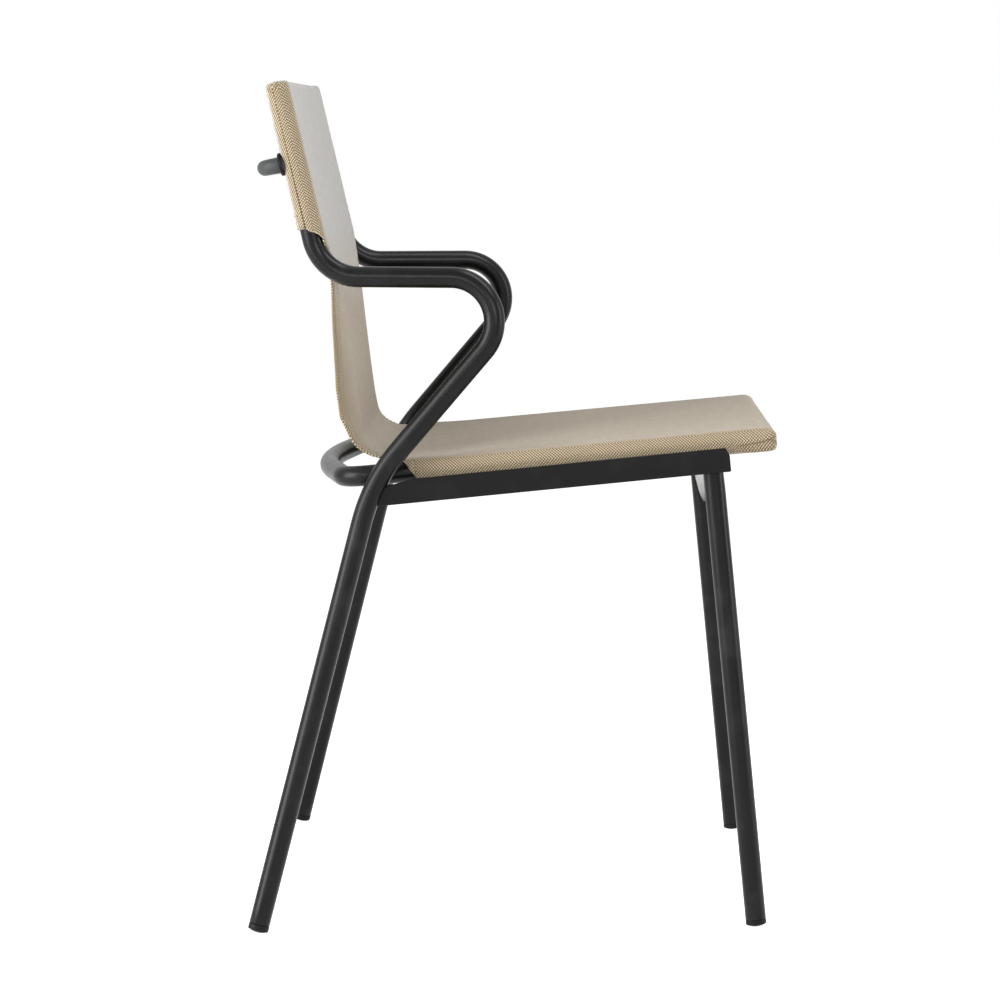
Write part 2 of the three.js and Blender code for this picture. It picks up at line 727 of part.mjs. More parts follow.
for (const { label, side } of sides) {
  const path = sidePath(side);
  const top = path.stations[0];
  chair.add(piece(`side_tube_${label}`, makeSideTube(side), tubeBlack));
  chair.add(makePlug(`upright_plug_${label}`, top.point, top.tangent.clone().negate(), plugDomeHeight));
  const knee = new THREE.Vector3(side * kneeX, kneeY, kneeHeight);
  const rearFoot = footPoint(side * rearFootSpacing / 2, rearFootY, knee);
  chair.add(makeFootCap(`rear_foot_cap_${label}`, rearFoot, knee));
  const { top: legTop, foot: frontFoot } = frontLegEnds(side);
  chair.add(piece(`front_leg_${label}`, makeFrontLeg(side), tubeBlack));
  chair.add(makeFootCap(`front_foot_cap_${label}`, frontFoot, legTop));
  chair.add(piece(`seat_rail_${label}`, makeRail(side), railBlack));
  const hoopEnd = seatAxisPoint(side * seatTubeX, frontTubeY);
  chair.add(makePlug(`seat_plug_${label}`, hoopEnd, seatForward, tubeRadius - weldGap));
  chair.add(makeCollar(`spreader_collar_${label}`, side));
  chair.add(piece(`seat_sleeve_${label}`, makeSleeve(side), clothBeige));
}

chair.add(piece('seat_hoop', makeSeatHoop(), tubeBlack));
chair.add(piece('seat_front_tube', makeFrontTube(), tubeBlack));
chair.add(piece('back_spreader', makeSpreader(), tubeBlack));
chair.add(piece('sling_sheet', makeSheet(), clothBeige));
chair.add(piece('sling_back_panel', makeBackPanel(), clothBeige));
chair.add(piece('sling_front_pocket', makeFrontPocket(), clothBeige));

export default chair;
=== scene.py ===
import math

import bpy
import numpy as np
from mathutils import Matrix, Quaternion, Vector


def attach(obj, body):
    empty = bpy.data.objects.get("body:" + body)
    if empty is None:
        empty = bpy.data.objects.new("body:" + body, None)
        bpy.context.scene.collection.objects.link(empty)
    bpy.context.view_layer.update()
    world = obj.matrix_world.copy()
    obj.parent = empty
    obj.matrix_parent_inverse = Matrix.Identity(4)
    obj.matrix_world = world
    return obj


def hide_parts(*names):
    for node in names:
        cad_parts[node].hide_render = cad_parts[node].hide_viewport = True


# Sling patio chair. Metres, +Z up, the chair faces -Y.
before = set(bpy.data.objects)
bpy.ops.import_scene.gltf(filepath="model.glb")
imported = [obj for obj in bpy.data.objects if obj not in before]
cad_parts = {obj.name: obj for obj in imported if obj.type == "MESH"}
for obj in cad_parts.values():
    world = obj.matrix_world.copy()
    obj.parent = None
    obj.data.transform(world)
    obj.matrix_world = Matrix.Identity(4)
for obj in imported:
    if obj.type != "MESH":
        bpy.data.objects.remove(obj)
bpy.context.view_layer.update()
mm = 0.001
print("frame loaded:", len(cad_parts), "nodes")

# The view of the photograph: from the sitter's right, a little above the arm.
cameraSettings = dict(
    place=(-3.50825, -0.049, 0.765239),
    forward=(0.994095, 0.018497, -0.106927),
    focalPixels=3453.4,
    framePixels=1000,
    sensorWidth=36.0,
)

tubeSettings = dict(radius=10 * mm, sides=56, stepAngle=math.radians(2.5), straightStep=18 * mm,
                    edge=0.5 * mm, edgeSteps=3)
sharpAngle = math.radians(40)

sideTube = dict(
    uprightX=204 * mm, topZ=798 * mm, lean=math.radians(12.77), armZ=624.5 * mm,
    armRearY=183.5 * mm, armFrontY=-31.2 * mm, armFrontX=238 * mm,
    kneeX=220.7 * mm, kneeY=135 * mm, kneeZ=428.3 * mm,
    footX=271.5 * mm, footY=243.1 * mm,
    bends=(45 * mm, 42 * mm, 160 * mm),
)

seatHoop = dict(
    x=200.4 * mm, axisZ=446.2 * mm, slope=math.radians(5.38), cornerY=161 * mm,
    cornerBend=26 * mm, bow=37 * mm, bowBend=560 * mm, frontY=-240.6 * mm,
)

cloth = dict(
    thickness=1.3 * mm, radius=11.25 * mm, rimReach=0.75, seamGap=0.12 * mm, seamTurn=math.radians(21),
    pocketDepth=129.5 * mm, mouthSweep=48 * mm, lowerHalf=188 * mm,
    # the mouth: share of the sweep, share of the way out to the tube, share of the wrap
    mouthShares=((0, 1, 1), (0.06, 1, 0.9), (0.16, 1, 0.53), (0.256, 1, 0.33), (0.39, 1, 0.21),
                 (0.48, 0.85, 0.05), (0.62, 0.4, 0)),
    mouthDrops=((0.8, 2.6 * mm), (1.0, 5.2 * mm)),
    waistY=168 * mm, waistZ=615.5 * mm, waistBend=220 * mm,
    rearY=144.2 * mm, rearRise=3.6 * mm, rearBend=30 * mm, flatEndY=62 * mm, flatBend=400 * mm,
    curlDrop=26 * mm, curlAngle=math.radians(69), curlShares=(0.66, 0.8, 0.91, 0.98, 0.95, 0.6, 0.12),
    bowRadius=150 * mm, rollRadius=5 * mm, rollAngle=math.radians(45),
    sleeveStartY=105 * mm, sleeveCut=16 * mm, sleeveWrap=math.radians(290),
    cornerWrap=math.radians(195), cornerReach=15 * mm,
    topPower=2.4, underPower=5.0, noseReach=0.6 * mm, planPower=4.0, foldStep=1.15 * mm, tuckDepth=2.0 * mm,
    hemWidth=13 * mm, hemRise=0.45 * mm, areaShare=0.998,
)


def unit(v):
    return v.normalized()


# A run of straights and round bends: (point, tangent) pairs, close together in the bends.
def bentStations(corners, bends, stepAngle, straightStep=None):
    corners = [Vector(c) for c in corners]
    ways = [unit(b - a) for a, b in zip(corners, corners[1:])]
    stations = [(corners[0], ways[0])]
    for corner, before, after, radius in zip(corners[1:-1], ways, ways[1:], bends):
        turn = before.angle(after)
        inward = unit(after - before * after.dot(before))
        start = corner - before * (radius * math.tan(turn / 2))
        steps = max(2, math.ceil(turn / stepAngle))
        for k in range(steps + 1):
            a = turn * k / steps
            point = start + before * (radius * math.sin(a)) + inward * (radius * (1 - math.cos(a)))
            stations.append((point, before * math.cos(a) + inward * math.sin(a)))
    stations.append((corners[-1], ways[-1]))
    if straightStep is None:
        return stations
    filled = [stations[0]]
    for (a, ta), (b, tb) in zip(stations, stations[1:]):
        parts = max(1, math.ceil((b - a).length / straightStep))
        for k in range(1, parts + 1):
            filled.append((a.lerp(b, k / parts), unit(ta.lerp(tb, k / parts))))
    return filled


def pathDistances(stations):
    places = [0.0]
    for (a, _), (b, _) in zip(stations, stations[1:]):
        places.append(places[-1] + (b - a).length)
    return places


def sampleStations(stations, distances):
    places = pathDistances(stations)
    points = np.array([p[:] for p, _ in stations])
    tangents = np.array([t[:] for _, t in stations])
    spots = np.stack([np.interp(distances, places, points[:, k]) for k in range(3)], -1)
    ways = np.stack([np.interp(distances, places, tangents[:, k]) for k in range(3)], -1)
    ways /= np.linalg.norm(ways, axis=1)[:, None]
    return spots, ways


def newObject(name, points, faces, uvs=None, material=None, smooth=True, innerFaces=(), innerMaterial=None):
    mesh = bpy.data.meshes.new(name)
    mesh.from_pydata([tuple(p) for p in points], [], [tuple(f) for f in faces])
    if uvs is not None:
        layer = mesh.uv_layers.new(name="UVMap")
        values = [float(value) for corners in uvs for corner in corners for value in corner]
        layer.data.foreach_set("uv", values)
    mesh.polygons.foreach_set("use_smooth", [smooth] * len(mesh.polygons))
    mesh.validate()
    mesh.update()
    piece = bpy.data.objects.new(name, mesh)
    bpy.context.scene.collection.objects.link(piece)
    if material:
        mesh.materials.append(material)
    if innerMaterial:
        mesh.materials.append(innerMaterial)
        for i in innerFaces:
            mesh.polygons[i].material_index = 1
    return piece


def dress(piece, slot, *nodes):
    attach(piece, "root")
    if nodes:
        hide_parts(*nodes)
    return piece


# Round bar along stations, its ring turned as little as possible from one to the next.
# With an edge, both ends are rounded a little.
def sweepTube(name, stations, radius, material, sides=None, radii=None, edge=0.0):
    sides = sides or tubeSettings["sides"]
    across = stations[0][1].orthogonal().normalized()
    stations = list(stations)
    radii = list(radii) if radii is not None else [radius] * len(stations)
    if edge:
        steps = tubeSettings["edgeSteps"]
        for end, inward in ((0, 1), (-1, -1)):
            p, t = stations[end]
            turns = [math.pi / 2 * k / steps for k in range(steps)]
            if end == 0:
                turns.reverse()
            place = slice(0, 1) if end == 0 else slice(len(stations) - 1, None)
            stations[place] = [(p + t * (inward * edge * (1 - math.sin(a))), t) for a in turns]
            radii[place] = [radius - edge * (1 - math.cos(a)) for a in turns]
    points, rings, marks = [], [], []
    distance = 0.0
    last = stations[0][0]
    for (p, t), r in zip(stations, radii):
        distance += (p - last).length
        last = p
        across = unit(across - t * across.dot(t))
        up = t.cross(across)
        ring = []
        for k in range(sides):
            a = 2 * math.pi * k / sides
            ring.append(len(points))
            points.append(p + across * (r * math.cos(a)) + up * (r * math.sin(a)))
        rings.append(ring)
        marks.append(distance)
    faces, uvs = [], []
    turn = 2 * math.pi * radius / sides
    for i in range(len(rings) - 1):
        low, high = marks[i], marks[i + 1]
        for k in range(sides):
            j = (k + 1) % sides
            faces.append((rings[i][k], rings[i][j], rings[i + 1][j], rings[i + 1][k]))
            uvs.append(((turn * k, low), (turn * (k + 1), low), (turn * (k + 1), high), (turn * k, high)))
    faces += [tuple(reversed(rings[0])), tuple(rings[-1])]
    uvs += [[(0.0, marks[0])] * sides, [(0.0, marks[-1])] * sides]
    return newObject(name, points, faces, uvs, material)


# Turned piece: profile of (radius, height) about an axis. A sharp corner is given as two close points.
def turnedPiece(name, profile, origin, axis, material, sides=48):
    axis = unit(Vector(axis))
    across = axis.orthogonal().normalized()
    up = axis.cross(across)
    origin = Vector(origin)
    points, rings = [], []
    for r, h in profile:
        if r < 1e-7:
            rings.append([len(points)])
            points.append(origin + axis * h)
            continue
        ring = []
        for k in range(sides):
            a = 2 * math.pi * k / sides
            ring.append(len(points))
            points.append(origin + axis * h + across * (r * math.cos(a)) + up * (r * math.sin(a)))
        rings.append(ring)
    faces = []
    for low, high in zip(rings, rings[1:]):
        for k in range(sides):
            j = (k + 1) % sides
            if len(low) == 1:
                faces.append((low[0], high[j], high[k]))
            elif len(high) == 1:
                faces.append((low[k], low[j], high[0]))
            else:
                faces.append((low[k], low[j], high[j], high[k]))
    return newObject(name, points, faces, None, material)


# Materials
def startMaterial(name):
    material = bpy.data.materials.new(name)
    material.use_nodes = True
    tree = material.node_tree
    return material, tree, tree.nodes["Principled BSDF"]


def setSockets(node, **values):
    for key, value in values.items():
        node.inputs[key.replace("_", " ")].default_value = value


def sceneLinear(*rgb):
    return tuple(((c / 255 + 0.055) / 1.055) ** 2.4 if c > 10 else c / 255 / 12.92 for c in rgb) + (1.0,)


class Wiring:
    def __init__(self, tree):
        self.tree = tree

    def add(self, kind, **settings):
        node = self.tree.nodes.new(kind)
        for key, value in settings.items():
            setattr(node, key, value)
        return node

    def link(self, source, target):
        self.tree.links.new(source, target)

    def math(self, operation, a, b=None):
        node = self.add("ShaderNodeMath", operation=operation)
        for i, value in enumerate((a, b)):
            if isinstance(value, (int, float)):
                node.inputs[i].default_value = value
            elif value is not None:
                self.link(value, node.inputs[i])
        return node.outputs[0]

    def mixColor(self, factor, a, b):
        node = self.add("ShaderNodeMix", data_type="RGBA")
        for socket, value in ((node.inputs[0], factor), (node.inputs[6], a), (node.inputs[7], b)):
            if isinstance(value, (int, float, tuple)):
                socket.default_value = value
            else:
                self.link(value, socket)
        return node.outputs[2]

    def scaleColor(self, color, factor):
        node = self.add("ShaderNodeVectorMath", operation="SCALE")
        self.link(color, node.inputs[0])
        self.link(factor, node.inputs["Scale"])
        return node.outputs[0]

    def noise(self, vector, scale, detail=2.0, roughness=0.5):
        node = self.add("ShaderNodeTexNoise")
        setSockets(node, Detail=detail, Roughness=roughness)
        if isinstance(scale, (int, float)):
            node.inputs["Scale"].default_value = scale
        else:
            self.link(scale, node.inputs["Scale"])
        self.link(vector, node.inputs["Vector"])
        return node.outputs["Fac"]

    def mapRange(self, value, low, high, newLow, newHigh):
        node = self.add("ShaderNodeMapRange", clamp=True)
        setSockets(node, From_Min=low, From_Max=high, To_Min=newLow, To_Max=newHigh)
        self.link(value, node.inputs["Value"])
        return node.outputs["Result"]

    # One for the rays that show a surface to the eye or in a gloss, none for those that light the chair.
    def seenRays(self):
        path = self.add("ShaderNodeLightPath").outputs
        bounced = self.math("MAXIMUM", path["Is Glossy Ray"], path["Is Transmission Ray"])
        return self.math("MAXIMUM", path["Is Camera Ray"], bounced)


def startGroup(name, inputs, outputs):
    group = bpy.data.node_groups.new(name, "ShaderNodeTree")
    for direction, sockets in (("INPUT", inputs), ("OUTPUT", outputs)):
        for socketName, kind in sockets.items():
            group.interface.new_socket(name=socketName, in_out=direction, socket_type="NodeSocket" + kind)
    wires = Wiring(group)
    return group, wires, wires.add("NodeGroupInput").outputs, wires.add("NodeGroupOutput").inputs


# The ribs drift a little between the back and the seat.
weaveSettings = dict(backShift=10.5 * mm, seatShift=3 * mm, driftStart=0.15, driftEnd=0.4, weftDepth=0.35,
                     yarnScale=900.0, yarnNoise=0.2, softness=0.28, weftRise=0.2)


# Herringbone weave from the cloth's own UVs, which are metres across and along the cut cloth.
def makeWeaveGroup():
    w = weaveSettings
    group, wires, given, result = startGroup(
        "herringboneWeave",
        {"Pitch": "Float", "Rib Width": "Float", "Light": "Color", "Dark": "Color", "Share": "Float"},
        {"Color": "Color", "Height": "Float"})
    coordinates = wires.add("ShaderNodeTexCoord").outputs["UV"]
    split = wires.add("ShaderNodeSeparateXYZ")
    wires.link(coordinates, split.inputs[0])
    u, v = split.outputs[0], split.outputs[1]
    pitch, rib = given["Pitch"], given["Rib Width"]
    shift = wires.mapRange(v, w["driftStart"], w["driftEnd"], w["backShift"], w["seatShift"])
    ribs = wires.math("DIVIDE", wires.math("ADD", wires.math("ABSOLUTE", u), shift), rib)
    slant = wires.math("MULTIPLY", wires.math("PINGPONG", ribs, 1.0), rib)

    def threads(operation):
        along = wires.math("DIVIDE", wires.math(operation, v, slant), pitch)
        return wires.math("SINE", wires.math("MULTIPLY", along, 2 * math.pi))

    warp, weft = threads("ADD"), threads("SUBTRACT")
    bars = wires.math("ADD", wires.math("MULTIPLY", warp, 0.5), 0.5)
    floats = wires.math("ADD", wires.math("MULTIPLY", weft, w["weftDepth"]), 1 - w["weftDepth"])
    fine = wires.math("SUBTRACT", wires.noise(coordinates, w["yarnScale"], 1.0), 0.5)
    uneven = wires.math("MULTIPLY", fine, w["yarnNoise"])
    raised = wires.math("ADD", wires.math("MULTIPLY", bars, floats), uneven)
    over = wires.math("SUBTRACT", raised, given["Share"])
    mask = wires.mapRange(over, -w["softness"], w["softness"], 0.0, 1.0)
    wires.link(wires.mixColor(mask, given["Dark"], given["Light"]), result["Color"])
    wires.link(wires.math("ADD", mask, wires.math("MULTIPLY", weft, w["weftRise"])), result["Height"])
    return group


coatSettings = dict(patchScale=22.0, patchDetail=4.0, patchRoughness=0.6, patchGloss=0.16, peelGloss=0.1,
                    wornStart=0.52, wornEnd=0.72, wornColor=(0.16, 0.16, 0.165, 1.0),
                    bumpStrength=0.06, bumpDistance=0.2 * mm)


# Powder coat: fine orange peel, faint dust and rubbed patches.
def makeCoatGroup():
    c = coatSettings
    group, wires, given, result = startGroup(
        "powderCoat",
        {"Color": "Color", "Roughness": "Float", "Peel Scale": "Float", "Wear": "Float"},
        {"Color": "Color", "Roughness": "Float", "Height": "Float"})
    coordinates = wires.add("ShaderNodeTexCoord").outputs["Object"]
    peel = wires.noise(coordinates, given["Peel Scale"])
    patches = wires.noise(coordinates, c["patchScale"], c["patchDetail"], c["patchRoughness"])
    rough = given["Roughness"]
    for texture, amount in ((patches, c["patchGloss"]), (peel, c["peelGloss"])):
        change = wires.math("MULTIPLY", wires.math("SUBTRACT", texture, 0.5), amount)
        rough = wires.math("ADD", rough, change)
    wires.link(rough, result["Roughness"])
    bare = wires.mapRange(patches, c["wornStart"], c["wornEnd"], 0.0, 1.0)
    worn = wires.math("MULTIPLY", bare, given["Wear"])
    wires.link(wires.mixColor(worn, given["Color"], c["wornColor"]), result["Color"])
    wires.link(peel, result["Height"])
    return group


weaveGroup = makeWeaveGroup()
coatGroup = makeCoatGroup()


def bumpInto(wires, height, shader, strength, distance):
    bump = wires.add("ShaderNodeBump")
    setSockets(bump, Strength=strength, Distance=distance)
    wires.link(height, bump.inputs["Height"])
    wires.link(bump.outputs["Normal"], shader.inputs["Normal"])


def makeCoat(name, color, roughness, wear=0.06, peel=900.0, level=0.5):
    material, tree, shader = startMaterial(name)
    wires = Wiring(tree)
    coat = wires.add("ShaderNodeGroup", node_tree=coatGroup)
    setSockets(coat, Color=sceneLinear(*color), Roughness=roughness, Peel_Scale=peel, Wear=wear)
    wires.link(coat.outputs["Color"], shader.inputs["Base Color"])
    wires.link(coat.outputs["Roughness"], shader.inputs["Roughness"])
    setSockets(shader, Specular_IOR_Level=level)
    bumpInto(wires, coat.outputs["Height"], shader, coatSettings["bumpStrength"], coatSettings["bumpDistance"])
    return material


# Each span is the values that a tone runs between: from, to, then the new from and to.
clothLook = dict(
    pitch=2.97 * mm, rib=10 * mm, light=(191, 175, 147), dark=(88, 74, 54), share=0.33,
    paintedSheenLow=(184, 175, 162), paintedSheenHigh=(194, 193, 191), paintedSheenSpan=(0.58, 0.67, 0.0, 1.0),
    roughness=0.7, level=0.3, bumpStrength=0.5, bumpDistance=0.35 * mm,
    cloudScale=9.0, cloudRoughness=0.55, mottleStretch=(40.0, 160.0, 160.0), mottleRoughness=0.6,
    # The seat and back spans are painted shade: darker towards the rear of the seat, lifted again up the back.
    detail=3.0, unevenSpan=(0.3, 0.7, 0.95, 1.04), seatShadeSpan=(-0.08, 0.08, 1.0, 0.78),
    backShadeSpan=(0.47, 0.55, 0.0, 0.15), sheenSpan=(0.38, 0.86, 0.0, 0.95),
)


# Cloth: the weave, and a painted sheen, a grey diffuse layer taking over where it is seen nearly edge on.
# The painted sheen is paler on the upper back than lower down, with painted shade towards the seat's rear.
def makeCloth(name):
    c = clothLook
    material, tree, shader = startMaterial(name)
    wires = Wiring(tree)
    weave = wires.add("ShaderNodeGroup", node_tree=weaveGroup)
    setSockets(weave, Pitch=c["pitch"], Rib_Width=c["rib"], Light=sceneLinear(*c["light"]),
               Dark=sceneLinear(*c["dark"]), Share=c["share"])
    place = wires.add("ShaderNodeTexCoord").outputs["Object"]
    clouds = wires.noise(place, c["cloudScale"], c["detail"], c["cloudRoughness"])
    tone = wires.mapRange(clouds, *c["unevenSpan"])
    wires.link(wires.scaleColor(weave.outputs["Color"], tone), shader.inputs["Base Color"])
    setSockets(shader, Roughness=c["roughness"], Specular_IOR_Level=c["level"])
    bumpInto(wires, weave.outputs["Height"], shader, c["bumpStrength"], c["bumpDistance"])
    split = wires.add("ShaderNodeSeparateXYZ")
    wires.link(place, split.inputs[0])
    heightShare = wires.mapRange(split.outputs[2], *c["paintedSheenSpan"])
    paintedSheen = wires.mixColor(heightShare, sceneLinear(*c["paintedSheenLow"]), sceneLinear(*c["paintedSheenHigh"]))
    stretch = wires.add("ShaderNodeMapping")
    setSockets(stretch, Scale=c["mottleStretch"])
    wires.link(place, stretch.inputs["Vector"])
    streaks = wires.noise(stretch.outputs[0], 1.0, c["detail"], c["mottleRoughness"])
    mottle = wires.mapRange(streaks, *c["unevenSpan"])
    # Painted shade: darker towards the rear of the seat, lifted again on the back above it.
    seatShade = wires.mapRange(split.outputs[1], *c["seatShadeSpan"])
    backShadeLift = wires.mapRange(split.outputs[2], *c["backShadeSpan"])
    paintedSheenTone = wires.scaleColor(paintedSheen, wires.math("MULTIPLY", mottle, wires.math("ADD", seatShade, backShadeLift)))
    # The grey diffuse layer is a painted sheen, mixed in where the cloth is seen nearly edge on.
    soft = wires.add("ShaderNodeBsdfDiffuse")
    wires.link(paintedSheenTone, soft.inputs["Color"])
    edgeOn = wires.add("ShaderNodeLayerWeight")
    blend = wires.add("ShaderNodeMixShader")
    wires.link(wires.mapRange(edgeOn.outputs["Facing"], *c["sheenSpan"]), blend.inputs[0])
    wires.link(shader.outputs[0], blend.inputs[1])
    wires.link(soft.outputs[0], blend.inputs[2])
    wires.link(blend.outputs[0], tree.nodes["Material Output"].inputs["Surface"])
    return material


blackCoat = makeCoat("blackPowderCoat", (8, 8, 9), 0.31, level=0.17)
# Spreader: a lighter grey copy of the black frame coat, with the light the bar catches painted in.
spreaderPaintedLightCoat = makeCoat("spreaderPaintedLightCoat", (62, 64, 64), 0.5, level=0.2)
railCoat = makeCoat("railPowderCoat", (14, 14, 15), 0.4, wear=0.03, level=0.12)
capPlastic = makeCoat("capPlastic", (14, 14, 15), 0.5, wear=0.02, peel=500.0, level=0.13)
# Inside of the front legs' tops: bare steel, made near white as a painted highlight for the bright opening.
boreSteelPaintedHighlight = makeCoat("boreSteelPaintedHighlight", (250, 250, 250), 0.5, wear=0.03, peel=300.0)
weldCoat = makeCoat("weldCoat", (13, 13, 14), 0.4, wear=0.08, peel=400.0, level=0.15)
slingCloth = makeCloth("slingCloth")
threadFibre = makeCoat("threadFibre", (150, 130, 98), 0.8, wear=0.0, peel=2500.0, level=0.2)
# Dark fibre for the sewn seams, and for the painted shade lines along the corner fold and tuck.
seamAndShadeLineFibre = makeCoat("seamAndShadeLineFibre", (122, 102, 72), 0.85, wear=0.0, peel=2500.0, level=0.1)
print("materials made")

# Frame tubes
s, h = sideTube, seatHoop
uprightWay = Vector((0, math.sin(s["lean"]), math.cos(s["lean"])))
backFront = Vector((0, -math.cos(s["lean"]), math.sin(s["lean"])))
seatForward = Vector((0, -math.cos(h["slope"]), math.sin(h["slope"])))
seatUp = Vector((0, math.sin(h["slope"]), math.cos(h["slope"])))


def uprightPoint(x, z):
    return Vector((x, s["armRearY"] + (z - s["armZ"]) * math.tan(s["lean"]), z))


def seatAxis(x, y):
    return Vector((x, y, h["axisZ"] - y * math.tan(h["slope"])))


capSettings = dict(
    facet=0.7 * mm, height=6.6 * mm, gap=0.3 * mm, edge=1.1 * mm, domeRadius=19.9 * mm, sink=0.12 * mm,
    domeSteps=8, edgeSteps=5,
    # rim and shank: in from the tube's face, down from the cap's height
    shank=((0, 0.8 * mm), (0.1 * mm, 0.25 * mm), (0.5 * mm, 0), (2.2 * mm, -0.1 * mm), (2.2 * mm, -8 * mm)),
)


def footPoint(x, y, nextPoint):
    lean = unit(nextPoint - Vector((x, y, 0))).angle(Vector((0, 0, 1)))
    return Vector((x, y, tubeSettings["radius"] * math.sin(lean) - capSettings["facet"]))


def sideStations(side):
    knee = Vector((side * s["kneeX"], s["kneeY"], s["kneeZ"]))
    foot = footPoint(side * s["footX"], s["footY"], knee)
    end = foot + unit(knee - foot) * (capSettings["height"] + capSettings["gap"])
    corners = [uprightPoint(side * s["uprightX"], s["topZ"]), uprightPoint(side * s["uprightX"], s["armZ"]),
               Vector((side * s["armFrontX"], s["armFrontY"], s["armZ"])), knee, end]
    t = tubeSettings
    return bentStations(corners, s["bends"], t["stepAngle"], t["straightStep"]), foot, knee


def footCap(name, foot, nextPoint, node):
    c = capSettings
    radius, lean = tubeSettings["radius"], unit(nextPoint - foot).angle(Vector((0, 0, 1)))
    dome = c["domeRadius"]
    heart = (dome - foot.z - c["sink"]) / math.cos(lean)  # centre of the dome, along the cap's axis
    rim = radius - c["edge"]
    places = [rim * k / c["domeSteps"] for k in range(c["domeSteps"] + 1)]
    profile = [(r, heart - math.sqrt(dome ** 2 - r ** 2)) for r in places]
    low = profile[-1][1]
    for k in range(1, c["edgeSteps"] + 1):
        a = math.pi / 2 * k / c["edgeSteps"]
        profile.append((rim + c["edge"] * math.sin(a), low + c["edge"] * (1 - math.cos(a))))
    profile += [(radius - inward, c["height"] - down) for inward, down in c["shank"]]
    profile.append((0, profile[-1][1]))
    cap = turnedPiece(name, profile, foot, nextPoint - foot, capPlastic)
    for v in cap.data.vertices:  # flat where it meets the ground
        v.co.z = max(v.co.z, 0.0)
    return dress(cap, "plastic", node)


for label, side in (("right", -1), ("left", 1)):
    stations, foot, knee = sideStations(side)
    tube = sweepTube(f"sideTube_{label}", stations, tubeSettings["radius"], blackCoat,
                     edge=tubeSettings["edge"])
    dress(tube, "tube", f"side_tube_{label}")
    footCap(f"rearFootCap_{label}", foot, knee, f"rear_foot_cap_{label}")

hoopCorners = [seatAxis(x, y) for x, y in (
    (h["x"], h["frontY"]), (h["x"], h["cornerY"]), (0, h["cornerY"] + h["bow"]),
    (-h["x"], h["cornerY"]), (-h["x"], h["frontY"]))]
hoopStations = bentStations(hoopCorners, (h["cornerBend"], h["bowBend"], h["cornerBend"]),
                            tubeSettings["stepAngle"], tubeSettings["straightStep"])
dress(sweepTube("hoopTube", hoopStations, tubeSettings["radius"], blackCoat), "tube", "seat_hoop")

# Front legs: open tops with a slanted cut on the inner side
railSettings = dict(
    height=23 * mm, thickness=6 * mm, axisZ=430.6 * mm, slope=math.radians(5.9), frontY=-207.2 * mm,
    rearInset=3 * mm, kneeOffset=2.3 * mm, noseLength=3.4 * mm, noseDrop=7.2 * mm, tailLength=40 * mm,
    tailDrop=7 * mm, edge=0.7 * mm, edgeSegments=3, edgeAngle=math.radians(25),
    # the nose's lower corner: back from the tip, up from the lower edge
    noseCorner=((1.2 * mm, 0), (0.4 * mm, 0.3 * mm), (0, 1.2 * mm)),
)
legSettings = dict(
    footX=233.7 * mm, footY=-235.6 * mm, topX=217.4 * mm, topY=-190.1 * mm, topDrop=5 * mm, faceGap=0.4 * mm,
    cutLength=102 * mm, cutDepth=13.4 * mm, cutTurn=math.radians(15), wall=1.2 * mm, boreDepth=120 * mm,
    sides=72, rows=40,
)


def railHeight(y):
    return railSettings["axisZ"] - y * math.tan(railSettings["slope"])


def legEnds(side):
    g = legSettings
    topZ = railHeight(g["topY"]) + railSettings["height"] / 2 - g["topDrop"]
    top = Vector((side * g["topX"], g["topY"], topZ))
    foot = footPoint(side * g["footX"], g["footY"], top)
    return top, foot


def makeLeg(label, side):
    g = legSettings
    top, foot = legEnds(side)
    way = unit(top - foot)
    bottom = foot + way * (capSettings["height"] + capSettings["gap"])
    length = (top - bottom).length
    inner = unit(Vector((-side, 0, 0)) + way * (side * way.x))
    inner.rotate(Quaternion(way, side * g["cutTurn"]))
    across = way.cross(inner)
    radius, bore = tubeSettings["radius"], tubeSettings["radius"] - g["wall"]
    sides, rows = g["sides"], g["rows"]
    points, rings = [], []

    def cutHeight(inward):
        reach = g["cutLength"] * (radius - inward) / g["cutDepth"]
        return min(length, length - g["cutLength"] + reach)

    def ring(heights, r):
        out = []
        for k in range(sides):
            a = 2 * math.pi * k / sides
            offset = inner * (r * math.cos(a)) + across * (r * math.sin(a))
            out.append(len(points))
            points.append(bottom + way * heights[k] + offset)
        return out

    topsOut = [cutHeight(radius * math.cos(2 * math.pi * k / sides)) for k in range(sides)]
    topsIn = [cutHeight(bore * math.cos(2 * math.pi * k / sides)) for k in range(sides)]
    lowStart = length - g["boreDepth"]
    rings.append(ring([0] * sides, radius))
    rings.append(ring([lowStart] * sides, radius))
    for i in range(1, rows + 1):
        share = i / rows
        rings.append(ring([lowStart + (t - lowStart) * share for t in topsOut], radius))
    outerCount = len(rings)
    for i in range(rows, -1, -1):
        share = i / rows
        rings.append(ring([lowStart + (t - lowStart) * share for t in topsIn], bore))
    faces, inside = [], []
    for i in range(len(rings) - 1):
        for k in range(sides):
            j = (k + 1) % sides
            if i >= outerCount:
                inside.append(len(faces))
            faces.append((rings[i][k], rings[i][j], rings[i + 1][j], rings[i + 1][k]))
    faces.append(tuple(reversed(rings[0])))
    inside.append(len(faces))
    faces.append(tuple(rings[-1]))
    # The bore's inner faces are near white: a painted highlight on the bare steel inside.
    leg = newObject(f"frontLeg_{label}", points, faces, None, blackCoat, True, inside, boreSteelPaintedHighlight)
    leg.data.set_sharp_from_angle(angle=sharpAngle)
    dress(leg, "tube", f"front_leg_{label}")
    footCap(f"frontFootCap_{label}", foot, top, f"front_foot_cap_{label}")


